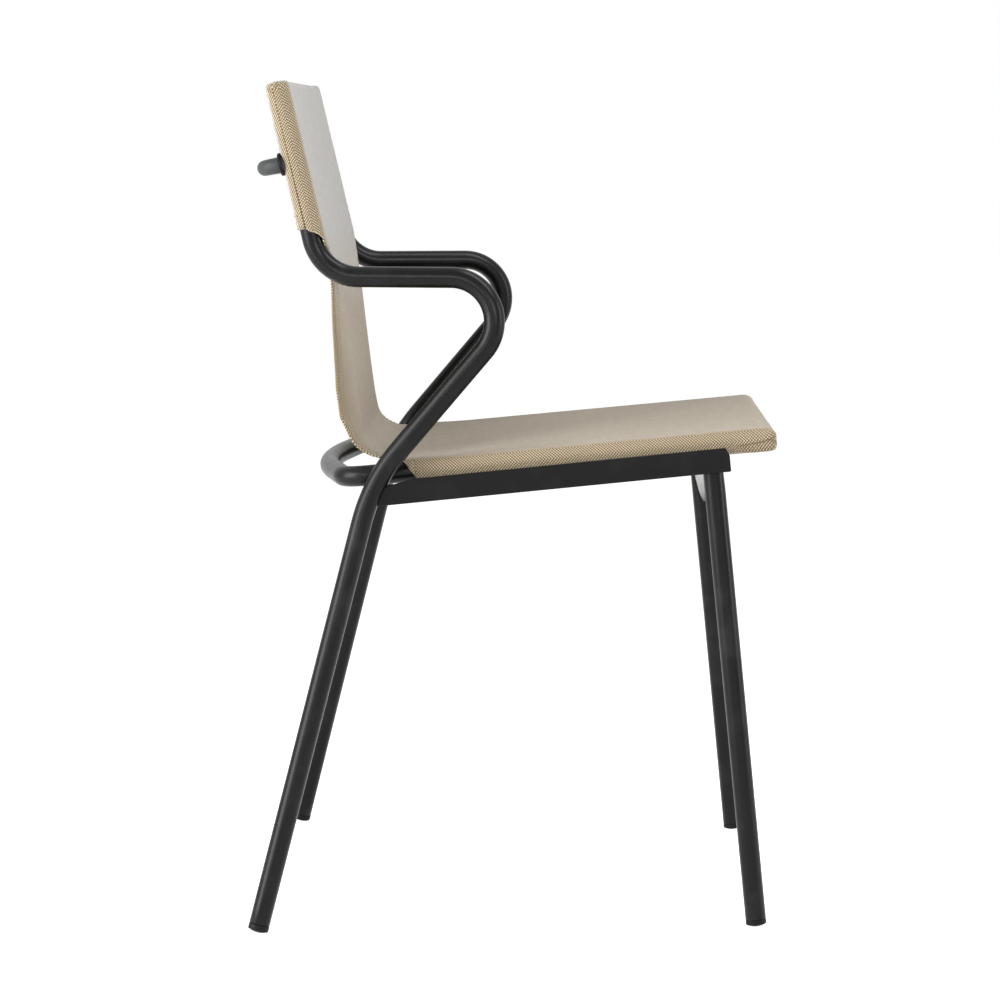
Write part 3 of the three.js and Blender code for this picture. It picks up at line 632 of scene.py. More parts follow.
# Rails: flat bars with a clipped nose and eased edges
def makeRail(label, side):
    r = railSettings
    top, foot = legEnds(1)
    railFoot = railHeight(legSettings["topY"]) - r["height"] / 2
    legX = top.x + (foot.x - top.x) * (top.z - railFoot) / (top.z - foot.z)
    frontX = legX + tubeSettings["radius"] + legSettings["faceGap"] + r["thickness"] / 2
    rearX = s["kneeX"] + r["kneeOffset"]
    rearY = s["kneeY"] - r["rearInset"]
    rear = Vector((side * rearX, rearY, railHeight(rearY)))
    front = Vector((side * frontX, r["frontY"], railHeight(r["frontY"])))
    length = (front - rear).length
    xWay = unit(front - rear)
    outward = unit(xWay.cross(Vector((0, 0, 1))))
    yWay = outward.cross(xWay)
    half = r["height"] / 2
    outline = [(0, -half)] + [(length - back, up - half) for back, up in r["noseCorner"]]
    outline += [(length, half - r["noseDrop"]), (length - r["noseLength"], half), (r["tailLength"], half),
                (0, half - r["tailDrop"])]
    points = [rear + xWay * x + yWay * y + outward * (z * r["thickness"] / 2)
              for z in (-1, 1) for x, y in outline]
    n = len(outline)
    faces = [tuple(range(n - 1, -1, -1)), tuple(range(n, 2 * n))]
    faces += [(k, (k + 1) % n, n + (k + 1) % n, n + k) for k in range(n)]
    bar = newObject(f"seatRail_{label}", points, faces, None, railCoat, False)
    bevel = bar.modifiers.new("easedEdges", "BEVEL")
    bevel.width = r["edge"]
    bevel.segments = r["edgeSegments"]
    bevel.limit_method = "ANGLE"
    bevel.angle_limit = r["edgeAngle"]
    bevel.harden_normals = True
    dress(bar, "rail", f"seat_rail_{label}")
    return rear, xWay, yWay, outward


railFrames = {}
for label, side in (("right", -1), ("left", 1)):
    makeLeg(label, side)
    railFrames[label] = makeRail(label, side)
print("frame tubes, legs and rails made")

# Spreader and its collars
spreader = dict(radius=7.5 * mm, drop=64 * mm, reach=19.6 * mm, dip=6.4 * mm, bend=16 * mm,
                stepAngle=math.radians(5), sides=48)
p = spreader
spreaderZ = s["topZ"] - p["drop"]
startY = uprightPoint(0, spreaderZ).y
rearBarY = startY + tubeSettings["radius"] + p["reach"]
spreaderCorners = [Vector((side * s["uprightX"], y, z)) for side, y, z in (
    (1, startY, spreaderZ), (1, rearBarY, spreaderZ - p["dip"]),
    (-1, rearBarY, spreaderZ - p["dip"]), (-1, startY, spreaderZ))]
spreaderStations = bentStations(spreaderCorners, (p["bend"], p["bend"]), p["stepAngle"],
                                tubeSettings["straightStep"])
bar = sweepTube("spreaderTube", spreaderStations, p["radius"], spreaderPaintedLightCoat, sides=p["sides"])
dress(bar, "tube", "back_spreader")

collarSettings = dict(radius=11.1 * mm, thickness=3.2 * mm, edge=2.0 * mm, edgeSteps=6, clothGap=0.1 * mm,
                      lip=0.9 * mm, holeGap=0.3 * mm, holeDepth=0.6 * mm)
for label, side in (("right", -1), ("left", 1)):
    c = collarSettings
    start = uprightPoint(side * s["uprightX"], spreaderZ)
    axis = spreaderStations[0][1]
    backward = -backFront
    clothFace = cloth["radius"] + cloth["thickness"] / 2 + c["clothGap"]
    seat = start + axis * (clothFace / backward.dot(axis))
    radius, top, edge = c["radius"], c["thickness"], c["edge"]
    profile = [(0, 0), (radius, 0), (radius, top - edge)]
    for k in range(1, c["edgeSteps"] + 1):
        a = math.pi / 2 * k / c["edgeSteps"]
        profile.append((radius - edge * (1 - math.cos(a)), top - edge * (1 - math.sin(a))))
    hole = top - c["holeDepth"]
    profile += [(p["radius"] + c["lip"], top), (p["radius"] + c["holeGap"], hole), (0, hole)]
    collar = turnedPiece(f"spreaderCollar_{label}", profile, seat, backward, capPlastic)
    collar.data.set_sharp_from_angle(angle=sharpAngle)
    dress(collar, "plastic", f"spreader_collar_{label}")

for name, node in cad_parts.items():
    if "plug" in name or name == "seat_front_tube":
        node.data.materials.clear()
        node.data.materials.append(capPlastic if "plug" in name else blackCoat)


# Cloth: a rounded square's reach at an angle, and a soft step
def superRound(angle, power):
    c, n = np.abs(np.cos(angle)), np.abs(np.sin(angle))
    return (c ** power + n ** power) ** (-1.0 / power)


def smoothStep(low, high, x):
    t = np.clip((np.asarray(x, float) - low) / (high - low), 0, 1)
    return t * t * (3 - 2 * t)


# Blocks of quads that share their edges become one closed sheet: outer and inner face with round edges.
def buildCloth(name, blocks, material):
    half = cloth["thickness"] / 2
    lookup, points, uvs, swells, lifts, faces, faceUvs = {}, [], [], [], [], [], []
    for block in blocks:
        grid, marks = block["points"], block["uvs"]
        rows, columns = grid.shape[:2]
        swell = block.get("swell", np.zeros((rows, columns)))
        lift = block.get("lift", np.zeros((rows, columns)))
        keys = np.round(grid * 1e6).astype(np.int64)
        ids = np.empty((rows, columns), int)
        for r in range(rows):
            for c in range(columns):
                key = tuple(keys[r, c])
                if key not in lookup:
                    lookup[key] = len(points)
                    points.append(grid[r, c])
                    uvs.append(marks[r, c])
                    swells.append(swell[r, c])
                    lifts.append(lift[r, c])
                ids[r, c] = lookup[key]
        for r in range(rows - 1):
            for c in range(columns - 1):
                around = [(r, c), (r + 1, c), (r + 1, c + 1), (r, c + 1)]
                if block.get("flip"):
                    around = around[::-1]
                face, faceUv = [], []
                for place in around:
                    i = int(ids[place])
                    if i not in face:
                        face.append(i)
                        faceUv.append(tuple(marks[place]))
                if len(face) > 2:
                    faces.append(face)
                    faceUvs.append(faceUv)
    points, swells, lifts = np.array(points), np.array(swells), np.array(lifts)
    normals = np.zeros_like(points)
    outward = np.zeros_like(points)
    faceNormals = []
    for face in faces:
        a, b, c = points[face[0]], points[face[1]], points[face[2]]
        d = points[face[3]] if len(face) > 3 else a
        cross = np.cross(c - a, d - b) if len(face) > 3 else np.cross(b - a, c - a)
        faceNormals.append(cross)
        for i in face:
            normals[i] += cross
    normals /= np.linalg.norm(normals, axis=1)[:, None] + 1e-15
    edges = {}
    for f, face in enumerate(faces):
        for i, j in zip(face, face[1:] + face[:1]):
            edges[(i, j)] = f
    border = {}
    for (i, j), f in edges.items():
        if (j, i) not in edges:
            border[i] = j
            way = np.cross(points[j] - points[i], faceNormals[f])
            way /= np.linalg.norm(way) + 1e-15
            outward[i] += way
            outward[j] += way
    outward /= np.linalg.norm(outward, axis=1)[:, None] + 1e-15
    middle = points + normals * lifts[:, None]
    thick = (half + swells)[:, None]
    count = len(points)
    ring = {i: 2 * count + k for k, i in enumerate(border)}
    rims = np.array([middle[i] + outward[i] * (half + swells[i]) * cloth["rimReach"] for i in border])
    allPoints = np.concatenate([middle + normals * thick, middle - normals * thick, rims])
    allFaces = [tuple(face) for face in faces] + [tuple(i + count for i in reversed(face)) for face in faces]
    allUvs = faceUvs + [list(reversed(u)) for u in faceUvs]
    for i, j in border.items():
        allFaces += [(j, i, ring[i], ring[j]), (ring[j], ring[i], i + count, j + count)]
        allUvs += [[tuple(uvs[j]), tuple(uvs[i]), tuple(uvs[i]), tuple(uvs[j])]] * 2
    area = sum(0.5 * float(np.linalg.norm(n)) for n in faceNormals)
    return newObject(name, allPoints, allFaces, allUvs, material), area


stitchSettings = dict(
    length=2.9 * mm, pitch=4.2 * mm, radius=0.36 * mm, lift=0.12 * mm, sides=6, probe=0.3 * mm,
    # share of the length, share of the girth, rise in radii
    shape=((0.0, 0.45, -0.5), (0.18, 1.0, 0.0), (0.82, 1.0, 0.0), (1.0, 0.45, -0.5)),
)


# A spot on a cloth grid at (across, along), and the way out from it.
def clothSpot(grid, marks, across, along):
    places = marks[:, marks.shape[1] // 2, 1]
    order = np.argsort(places)

    def spot(a, b):
        k = int(np.clip(np.searchsorted(places[order], b) - 1, 0, len(order) - 2))
        low, high = order[k], order[k + 1]
        share = (b - places[low]) / (places[high] - places[low] + 1e-12)
        ends = [np.array([np.interp(a, marks[row, :, 0], grid[row, :, axis]) for axis in range(3)])
                for row in (low, high)]
        return ends[0] + (ends[1] - ends[0]) * share

    probe = stitchSettings["probe"]
    sideways = spot(across + probe, along) - spot(across - probe, along)
    onward = spot(across, along + probe) - spot(across, along - probe)
    out = np.cross(onward, sideways)
    return spot(across, along), out / (np.linalg.norm(out) + 1e-15)


# Rows of short sewing stitches, laid on a cloth grid along lists of (across, along) marks.
def makeStitches(name, grid, marks, runs, swell=0.0, outside=1):
    t = stitchSettings
    n = t["sides"]
    points, faces = [], []
    for run in runs:
        run = np.array(run, float)
        places = np.concatenate([[0], np.cumsum(np.linalg.norm(np.diff(run, axis=0), axis=1))])
        at = t["pitch"] / 2
        while at + t["length"] < places[-1]:
            ends = []
            for d in (at, at + t["length"]):
                a, b = np.interp(d, places, run[:, 0]), np.interp(d, places, run[:, 1])
                here, out = clothSpot(grid, marks, a, b)
                ends.append((here, out * outside))
            at += t["pitch"]
            (p, out), (q, _) = ends
            way = (q - p) / (np.linalg.norm(q - p) + 1e-12)
            side = np.cross(out, way)
            base = cloth["thickness"] / 2 + swell + t["lift"]
            rings = []
            for share, girth, rise in t["shape"]:
                heart = p + (q - p) * share + out * (base + rise * t["radius"])
                rings.append(len(points))
                for k in range(n):
                    a = 2 * math.pi * k / n
                    points.append(heart + (side * math.cos(a) + out * math.sin(a)) * t["radius"] * girth)
            for low, high in zip(rings, rings[1:]):
                faces += [(low + k, low + (k + 1) % n, high + (k + 1) % n, high + k) for k in range(n)]
            faces += [tuple(rings[0] + k for k in reversed(range(n))), tuple(rings[3] + k for k in range(n))]
    return dress(newObject(name, points, faces, None, threadFibre), "cloth")


flatColumns, wrapColumns, foldColumn = 36, 40, 15
pocketWrap = math.pi / 2 + cloth["seamTurn"] - cloth["seamGap"] / 2 / cloth["radius"]
rearWrap = math.pi / 2 - cloth["seamTurn"] - cloth["seamGap"] / 2 / cloth["radius"]


# Half a row across the cloth, from the middle out: sideways, drop and width for each column.
def halfRow(flatHalf, turns, radii):
    xs = [flatHalf * i / flatColumns for i in range(flatColumns)]
    drops, widths = [0.0] * flatColumns, list(xs)
    x, drop, width, last = flatHalf, 0.0, flatHalf, 0.0
    xs.append(x)
    drops.append(drop)
    widths.append(width)
    for turn, radius in zip(turns, radii):
        x += radius * (math.sin(turn) - math.sin(last))
        drop += radius * (math.cos(last) - math.cos(turn))
        width += radius * (turn - last)
        last = turn
        xs.append(x)
        drops.append(drop)
        widths.append(width)
    return np.array(xs), np.array(drops), np.array(widths)


def mirrored(values, sign=1):
    return np.concatenate([sign * values[:0:-1], values])


def evenTurns(whole):
    return [whole * (i + 1) / wrapColumns for i in range(wrapColumns)]


# The fold at the seat's front corners, as turns round the tube: first along the side, then round the corner.
foldSettings = dict(
    gap=math.radians(0.8), room=math.radians(8), rise=math.radians(60), riseSpan=(216 * mm, 226 * mm),
    ahead=(216 * mm, 220.3 * mm, 231.8 * mm, 240.6 * mm), aheadTurns=np.radians((106, 104.8, 99.3, 95.5)),
    corners=(0, math.radians(42), math.pi / 2), cornerTurns=np.radians((95.5, 78, 75)),
    noseSpan=(214 * mm, 240 * mm), noseTurns=(0.3, 1.2),
)


def foldTurns(whole, fold):
    gap = foldSettings["gap"]
    if whole < fold + foldSettings["room"]:
        return evenTurns(whole)
    first = [(fold - gap) * (i + 1) / foldColumn for i in range(foldColumn)]
    rest = wrapColumns - foldColumn - 1
    return first + [fold + gap + (whole - fold - gap) * i / rest for i in range(rest + 1)]


def foldTurnAt(y):
    return float(np.interp(-y, foldSettings["ahead"], foldSettings["aheadTurns"]))


def foldTurnRound(corner):
    return float(np.interp(corner, foldSettings["corners"], foldSettings["cornerTurns"]))


def foldLift(turns, fold, amount):
    turns = np.asarray(turns)
    return np.where(turns < fold, amount * smoothStep(fold - foldSettings["rise"], fold, turns), 0.0)


# Reach of the cloth from the tube's middle at a turn: rounder on top, squarer underneath.
def noseScale(turns, share=1.0):
    turns = np.asarray(turns, float)
    power = np.where(turns < math.pi / 2, cloth["topPower"], cloth["underPower"])
    power = 2.0 + (power - 2.0) * share
    return np.where(turns <= math.pi, superRound(turns, power), 1.0) * cloth["radius"]


def noseShareAt(y):
    return float(smoothStep(*foldSettings["noseSpan"], -y))


def noseOut(turns):
    return cloth["noseReach"] * np.clip(np.sin(turns), 0, 1) * smoothStep(*foldSettings["noseTurns"], turns)


crownSettings = dict(rows=14, frontPower=5.0, rearPower=6.0, powerTurns=(0.6, 2.4), sag=1.4 * mm,
                     sagSpan=(181 * mm, 203 * mm))


# The crown is squarer behind than in front.
def crownPower(turns):
    c = crownSettings
    return c["frontPower"] + (c["rearPower"] - c["frontPower"]) * smoothStep(*c["powerTurns"], turns)


# Crown of the back pocket, with the cloth a little lower between the tubes.
def crownBlock(facing, wrap, frontSide):
    c, radius = crownSettings, cloth["radius"]
    centre, upward, facing = np.array(uprightPoint(0, s["topZ"])), np.array(uprightWay), np.array(facing)
    end = math.pi / 2 - 0.5 * cloth["seamGap"] / radius
    turns = np.array([0.0] * (flatColumns + 1) + evenTurns(wrap))
    xs, _, widths = halfRow(s["uprightX"], evenTurns(wrap), [radius] * wrapColumns)
    xFlat = np.minimum(xs, s["uprightX"])
    power = crownPower(turns if frontSide else math.pi - turns)
    sag = c["sag"] * (1 - smoothStep(*c["sagSpan"], xFlat))
    grid, marks = [], []
    for k in range(c["rows"]):
        rise = end * (1 - k / c["rows"])
        scale = superRound(rise, power) * radius
        reach, high = scale * math.cos(rise), scale * math.sin(rise) - sag * math.sin(rise)
        row = centre + upward * mirrored(high)[:, None] + facing * mirrored(reach * np.cos(turns))[:, None]
        row[:, 0] = mirrored(xFlat + reach * np.sin(turns), -1)
        grid.append(row)
        marks.append(np.stack([mirrored(widths, -1), np.full(2 * len(widths) - 1, -rise * radius)], -1))
    return grid, marks


sheetSettings = dict(
    stepAngle=math.radians(2), straightStep=6 * mm, rowStep=5 * mm, frontRowStep=1.5 * mm, leastStep=0.7 * mm,
    firstShare=0.8, leastWrap=math.radians(2), rollSpan=(0.3, 0.5), curlRoll=1.4, leastDrop=0.05 * mm,
    bowRounds=30, seatLead=0.5 * mm, seatInset=1.5 * mm, seatTurn=math.radians(1), joint=0.1 * mm,
    cutShares=(0.01, 0.04, 0.09, 0.16, 0.25, 0.36, 0.5, 0.64, 0.75, 0.84, 0.92, 0.98, 1),
    # the hems and ripples begin at the mouth and end before the sleeves
    hemStart=(-20 * mm, 4 * mm), hemEnd=(-30 * mm, -10 * mm), hemEase=0.9 * mm,
    rippleReach=46 * mm, rippleDepth=0.6 * mm, ripples=((19 * mm, 0.0), (23 * mm, 1.3)),
)


def sheetStations():
    c, t = cloth, sheetSettings
    corners = [uprightPoint(0, s["topZ"]) + backFront * c["radius"], Vector((0, c["waistY"], c["waistZ"]))]
    for y, rise in ((c["rearY"], c["rearRise"]), (c["flatEndY"], 0), (h["frontY"], 0)):
        corners.append(seatAxis(0, y) + seatUp * (c["radius"] + rise))
    bends = (c["waistBend"], c["rearBend"], c["flatBend"])
    return bentStations(corners, bends, t["stepAngle"], t["straightStep"])


# Distances along the sheet, from the top of the back.
sheetLine = sheetStations()
span = pathDistances(sheetLine)[-1]


def seatDistance(y):
    return span - (y - h["frontY"]) / math.cos(h["slope"])


curlStart = cloth["pocketDepth"] + cloth["mouthSweep"]
seatStart = seatDistance(cloth["sleeveStartY"])
frontCut = seatDistance(h["frontY"] + cloth["cornerReach"])


# Down to the sleeves: rows of (distance, flat half, first radius, first turn, second radius, second turn).
def sheetMarks():
    c, t = cloth, sheetSettings
    split = t["firstShare"]
    marks = [(0, s["uprightX"], c["radius"], pocketWrap * split, c["radius"], pocketWrap * (1 - split))]
    for atShare, widthShare, wrapShare in c["mouthShares"]:
        width = c["lowerHalf"] + (s["uprightX"] - c["lowerHalf"]) * widthShare
        wrap = t["leastWrap"] + (pocketWrap - t["leastWrap"]) * wrapShare
        rolled = float(smoothStep(*t["rollSpan"], atShare))
        roll = c["rollAngle"] * rolled
        second = c["radius"] + (c["rollRadius"] - c["radius"]) * rolled
        width -= c["rollRadius"] * math.sin(roll)
        marks.append((c["pocketDepth"] + c["mouthSweep"] * atShare, width, c["radius"], wrap * split,
                      second, wrap * (1 - split) + roll))
    # below the mouth the hems bow back: (distance, drop, roll share)
    bows = [(c["pocketDepth"] + c["mouthSweep"] * share, drop, 1) for share, drop in c["mouthDrops"]]
    step = (seatStart - c["sleeveCut"] - curlStart) / len(c["curlShares"])
    for i, share in enumerate(c["curlShares"]):
        drop = c["curlDrop"] * (1 - math.cos(c["curlAngle"] * share))
        bows.append((curlStart + step * (i + 1), drop, min(1, share * t["curlRoll"])))
    for at, wanted, rollShare in bows:
        roll = c["rollAngle"] * rollShare
        first = 0.0
        for _ in range(t["bowRounds"]):  # the bow that gives the wanted drop together with the rolled edge
            rollDrop = c["rollRadius"] * (math.cos(first) - math.cos(first + roll))
            first = math.acos(1 - max(wanted - rollDrop, t["leastDrop"]) / c["bowRadius"])
        reach = c["bowRadius"] * math.sin(first) + c["rollRadius"] * (math.sin(first + roll) - math.sin(first))
        marks.append((at, c["lowerHalf"] - reach, c["bowRadius"], first, c["rollRadius"], roll))
    marks.append((seatStart - t["seatLead"], h["x"] - t["seatInset"], c["radius"], t["seatTurn"],
                  c["radius"], t["seatTurn"]))
    return np.array(marks)


# Over the seat: how far the cloth goes round the hoop's sides, as (distance, turn).
def sheetCuts():
    c, t = cloth, sheetSettings
    cuts = [(seatStart + share * c["sleeveCut"], math.acos(1 - 2 * share)) for share in t["cutShares"]]
    cuts.append((cuts[-1][0] + t["joint"], c["sleeveWrap"]))
    cuts += [(frontCut, c["sleeveWrap"]), (frontCut + t["joint"], c["cornerWrap"]), (span, c["cornerWrap"])]
    return cuts


def sheetRows(must):
    t = sheetSettings
    base = list(np.arange(0, frontCut, t["rowStep"])) + list(np.arange(frontCut, span, t["frontRowStep"]))
    rows = sorted(must + [b for b in base if min(abs(b - m) for m in must) > t["leastStep"]])
    return np.array([row for row in rows if row <= span + 1e-9])


def sheetBlock():
    c, t = cloth, sheetSettings
    marks, cuts = sheetMarks(), sheetCuts()
    distances = sheetRows(sorted(set([float(m) for m in marks[:, 0]] + [m for m, _ in cuts])))
    spots, ways = sampleStations(sheetLine, distances)
    cutAt, cutTurn = np.array(cuts).T
    columns = 2 * (flatColumns + wrapColumns) + 1
    n1 = int(wrapColumns * t["firstShare"])
    n2 = wrapColumns - n1
    grid, uvs = crownBlock(backFront, pocketWrap, True)
    swells = [np.zeros(columns) for _ in grid]
    lifts = [np.zeros(columns) for _ in grid]
    for spot, way, at in zip(spots, ways, distances):
        normal = np.array([0, way[2], -way[1]])
        lift = np.zeros(flatColumns + wrapColumns + 1)
        noseShare = 0.0
        if at <= seatStart:
            flatHalf, r1, a1, r2, a2 = [float(np.interp(at, marks[:, 0], marks[:, k])) for k in range(1, 6)]
            turns = [a1 * (i + 1) / n1 for i in range(n1)] + [a1 + a2 * (i + 1) / n2 for i in range(n2)]
            radii = [r1] * n1 + [r2] * n2
        else:
            y = h["frontY"] + (span - at) * math.cos(h["slope"])
            fold = foldTurnAt(y)
            turns = foldTurns(float(np.interp(at, cutAt, cutTurn)), fold)
            flatHalf, radii = h["x"], [c["radius"]] * wrapColumns
            amount = c["foldStep"] * float(smoothStep(*foldSettings["riseSpan"], -y))
            lift[flatColumns + 1:] = foldLift(turns, fold, amount)
            noseShare = noseShareAt(y)
        x, drop, widths = halfRow(flatHalf, turns, radii)
        if noseShare > 0:
            around = np.array(turns)
            scale = noseScale(around, noseShare)
            x[flatColumns + 1:] = flatHalf + scale * np.sin(around)
            drop[flatColumns + 1:] = c["radius"] - scale * np.cos(around)
        reach = widths[-1] - widths
        begun = smoothStep(curlStart + t["hemStart"][0], curlStart + t["hemStart"][1], at)
        ended = smoothStep(seatStart + t["hemEnd"][0], seatStart + t["hemEnd"][1], at)
        onBack = float(begun * (1 - ended))
        hem = c["hemRise"] * onBack * (1 - smoothStep(c["hemWidth"] - t["hemEase"], c["hemWidth"], reach))
        right, left = [math.sin(at / length + start) for length, start in t["ripples"]]
        sideRipple = np.concatenate([np.full(len(x) - 1, right), np.full(len(x), left)])
        rippled = onBack * (1 - smoothStep(0, t["rippleReach"], reach)) * t["rippleDepth"]
        row = spot - normal * (mirrored(drop) - mirrored(rippled) * sideRipple)[:, None]
        row[:, 0] = mirrored(x, -1)
        grid.append(row)
        uvs.append(np.stack([mirrored(widths, -1), np.full(columns, at)], -1))
        swells.append(mirrored(hem))
        lifts.append(mirrored(lift))
    return dict(points=np.array(grid), uvs=np.array(uvs), swell=np.array(swells), lift=np.array(lifts))


frontCentre, frontUp, frontAhead = np.array(seatAxis(0, h["frontY"])), np.array(seatUp), np.array(seatForward)


# The middle of the front edge goes round the cross tube.
def frontBlock(flatX):
    c = cloth
    points = np.empty((wrapColumns + 1, len(flatX), 3))
    uvs = np.empty((wrapColumns + 1, len(flatX), 2))
    for j, x in enumerate(flatX):
        whole = c["cornerWrap"] if abs(x) > h["x"] - c["cornerReach"] else c["sleeveWrap"]
        around = np.array([0.0] + foldTurns(whole, foldTurnRound(math.pi / 2)))
        scale = noseScale(around)
        points[:, j] = frontCentre + frontUp * (scale * np.cos(around))[:, None]
        points[:, j] += frontAhead * (scale * np.sin(around))[:, None]
        points[:, j] += frontAhead * noseOut(around)[:, None]
        points[:, j, 0] = x
        uvs[:, j] = np.stack([np.full(wrapColumns + 1, x), span + c["radius"] * around], -1)
    return dict(points=points, uvs=uvs)


cornerSettings = dict(steps=12, fadeSpan=(math.radians(50), math.radians(85)), dentCorner=math.radians(52),
                      dentTurn=math.radians(16), dentSpread=math.radians(13))


# Each front corner goes round the hoop's end.
def cornerBlock(side):
    c, t = cloth, cornerSettings
    steps = t["steps"]
    points = np.empty((steps + 1, wrapColumns + 1, 3))
    uvs = np.empty((steps + 1, wrapColumns + 1, 2))
    lift = np.zeros((steps + 1, wrapColumns + 1))
    for k in range(steps + 1):
        corner = math.pi / 2 * k / steps
        fold = foldTurnRound(corner)
        around = np.array([0.0] + foldTurns(c["cornerWrap"], fold))
        scale = noseScale(around)
        plan = float(superRound(corner, c["planPower"]))
        sideways = np.array([side * math.cos(corner), 0, 0]) + frontAhead * math.sin(corner)
        wide = 1 + (plan - 1) * np.clip(np.sin(around), 0, 1)
        points[k] = frontCentre + np.array([side * h["x"], 0, 0]) + frontUp * (scale * np.cos(around))[:, None]
        points[k] += sideways * (scale * np.sin(around) * wide)[:, None]
        points[k] += frontAhead * (noseOut(around) * math.sin(corner))[:, None]
        uvs[k] = np.stack([side * (h["x"] + c["radius"] * around),
                           np.full(wrapColumns + 1, span + c["radius"] * corner)], -1)
        lift[k] = foldLift(around, fold, c["foldStep"] * (1 - float(smoothStep(*t["fadeSpan"], corner))))
        far = -((corner - t["dentCorner"]) / t["dentSpread"]) ** 2
        dent = np.exp(far - ((around - fold - t["dentTurn"]) / t["dentSpread"]) ** 2)
        lift[k] -= c["tuckDepth"] * dent * (0 < k < steps)
    return dict(points=points, uvs=uvs, lift=lift, flip=side < 0)


sheetStitches = dict(hemPoints=14, hemOuter=1.6 * mm, hemInner=1.8 * mm, hemEnd=24 * mm,
                     sleeveTurn=math.radians(12), sleeveStart=4 * mm, sleeveEnd=3 * mm,
                     frontTurn=math.radians(14), frontInset=4 * mm)


def makeMainSheet():
    c, t = cloth, sheetStitches
    main = sheetBlock()
    grid, uvs = main["points"], main["uvs"]
    front = frontBlock(grid[-1, wrapColumns:-wrapColumns, 0])
    sheet, area = buildCloth("slingSheet", [main, front, cornerBlock(-1), cornerBlock(1)], slingCloth)
    dress(sheet, "cloth", "sling_sheet", "seat_sleeve_right", "seat_sleeve_left", "sling_front_pocket")
    hems, unders = [], []
    underX = h["x"] + c["radius"] * (c["sleeveWrap"] - t["sleeveTurn"])
    for side in (-1, 1):
        backRange = np.linspace(curlStart, seatStart - t["hemEnd"], t["hemPoints"])
        edges = [float(np.interp(at, uvs[:, 0, 1], -uvs[:, 0, 0])) for at in backRange]
        for inset in (c["hemWidth"] - t["hemInner"], t["hemOuter"]):
            hems.append([(side * (edge - inset), at) for edge, at in zip(edges, backRange)])
        unders.append([(side * underX, seatStart + c["sleeveCut"] + t["sleeveStart"]),
                       (side * underX, frontCut - t["sleeveEnd"])])
    makeStitches("sleeveStitches", grid, uvs, unders)
    makeStitches("backHemStitches", grid, uvs, hems, swell=c["hemRise"])
    half = h["x"] - c["cornerReach"] - t["frontInset"]
    along = span + c["radius"] * (c["sleeveWrap"] - t["frontTurn"])
    makeStitches("frontPocketStitches", front["points"], front["uvs"], [[(-half, along), (half, along)]])


makeMainSheet()
print("main sheet made")

panelSettings = dict(rows=27, hemWidth=15 * mm, hemAbove=0.5 * mm, hemBelow=0.4 * mm, stitchInset=2 * mm)


def makeBackPanel():
    c, t = cloth, panelSettings
    backward = -backFront
    grid, uvs = crownBlock(backward, rearWrap, False)
    swells = [np.zeros(grid[0].shape[0]) for _ in grid]
    top = np.array(uprightPoint(0, s["topZ"]) + backward * c["radius"])
    x, drop, widths = halfRow(s["uprightX"], evenTurns(rearWrap), [c["radius"]] * wrapColumns)
    columns = 2 * len(x) - 1
    hemTop = c["pocketDepth"] - t["hemWidth"]
    depths = list(np.linspace(0, c["pocketDepth"], t["rows"]))
    for depth in sorted(depths + [hemTop - t["hemAbove"], hemTop + t["hemBelow"]]):
        row = (top - np.array(uprightWay) * depth) - np.array(backward) * mirrored(drop)[:, None]
        row[:, 0] = mirrored(x, -1)
        grid.append(row)
        uvs.append(np.stack([mirrored(widths, -1), np.full(columns, depth)], -1))
        swells.append(np.full(columns, c["hemRise"] * float(depth > hemTop)))
    grid, uvs, swells = np.array(grid), np.array(uvs), np.array(swells)
    runEnd, runDepth = widths[-1] - t["stitchInset"], hemTop + t["stitchInset"]
    makeStitches("panelHemStitches", grid, uvs, [[(-runEnd, runDepth), (runEnd, runDepth)]],
                 swell=c["hemRise"], outside=-1)
    block = dict(points=grid, uvs=uvs, swell=swells, flip=True)
    panel, area = buildCloth("slingBackPanel", [block], slingCloth)
    dress(panel, "cloth", "sling_back_panel")


makeBackPanel()
print("back panel made")


# Sewn seams on pocket sides and crown darts; corner folds get dark cords of painted shade. A run is its start,
# its change and its steps.
seamSettings = dict(
    radius=0.36 * mm, dartRadius=0.32 * mm, foldRadius=0.3 * mm, sides=10, sink=0.1 * mm,
    pocketRises=(80, 60, 40, 20), pocketEnd=0.5 * mm, pocketPoints=30,
    dartEnd=math.radians(72), dartRises=(4, 58, 8), tuckTurn=math.radians(26), tuckRises=(4, 24, 6),
    foldStart=-217 * mm, foldPoints=12, foldAside=math.radians(1.5), foldCorners=range(6, 55, 6),
    tuckCorners=(26, 44, 8), tuckTurns=(84, 36, 8),
)


def spread(start, change, steps):
    return [start + change * k / steps for k in range(steps + 1)]


def makeFibreCord(name, points, radius):
    points = [Vector(p) for p in points]
    ways = [unit(b - a) for a, b in zip([points[0]] + points[:-1], points[1:] + [points[-1]])]
    cord = sweepTube(name, list(zip(points, ways)), radius, seamAndShadeLineFibre, sides=seamSettings["sides"])
    return dress(cord, "cloth")


def crownSpot(side, turn, rise, out):
    scale = float(superRound(rise, crownPower(turn))) * cloth["radius"] + out
    flat = backFront * math.cos(turn) + Vector((side, 0, 0)) * math.sin(turn)
    top = uprightPoint(side * s["uprightX"], s["topZ"])
    return top + flat * (scale * math.cos(rise)) + uprightWay * (scale * math.sin(rise))


def noseSpot(side, y, corner, turn, out):
    share = 1.0 if corner > 0 else noseShareAt(y)
    reach = float(noseScale([turn], share)[0])
    wide = 1 + (float(superRound(corner, cloth["planPower"])) - 1) * max(0.0, math.sin(turn))
    sideways = Vector((side, 0, 0)) * math.cos(corner) + seatForward * math.sin(corner)
    return (seatAxis(side * h["x"], y) + seatUp * ((reach + out) * math.cos(turn))
            + sideways * ((reach * wide + out) * math.sin(turn))
            + seatForward * (float(noseOut(turn)) * math.sin(corner)))


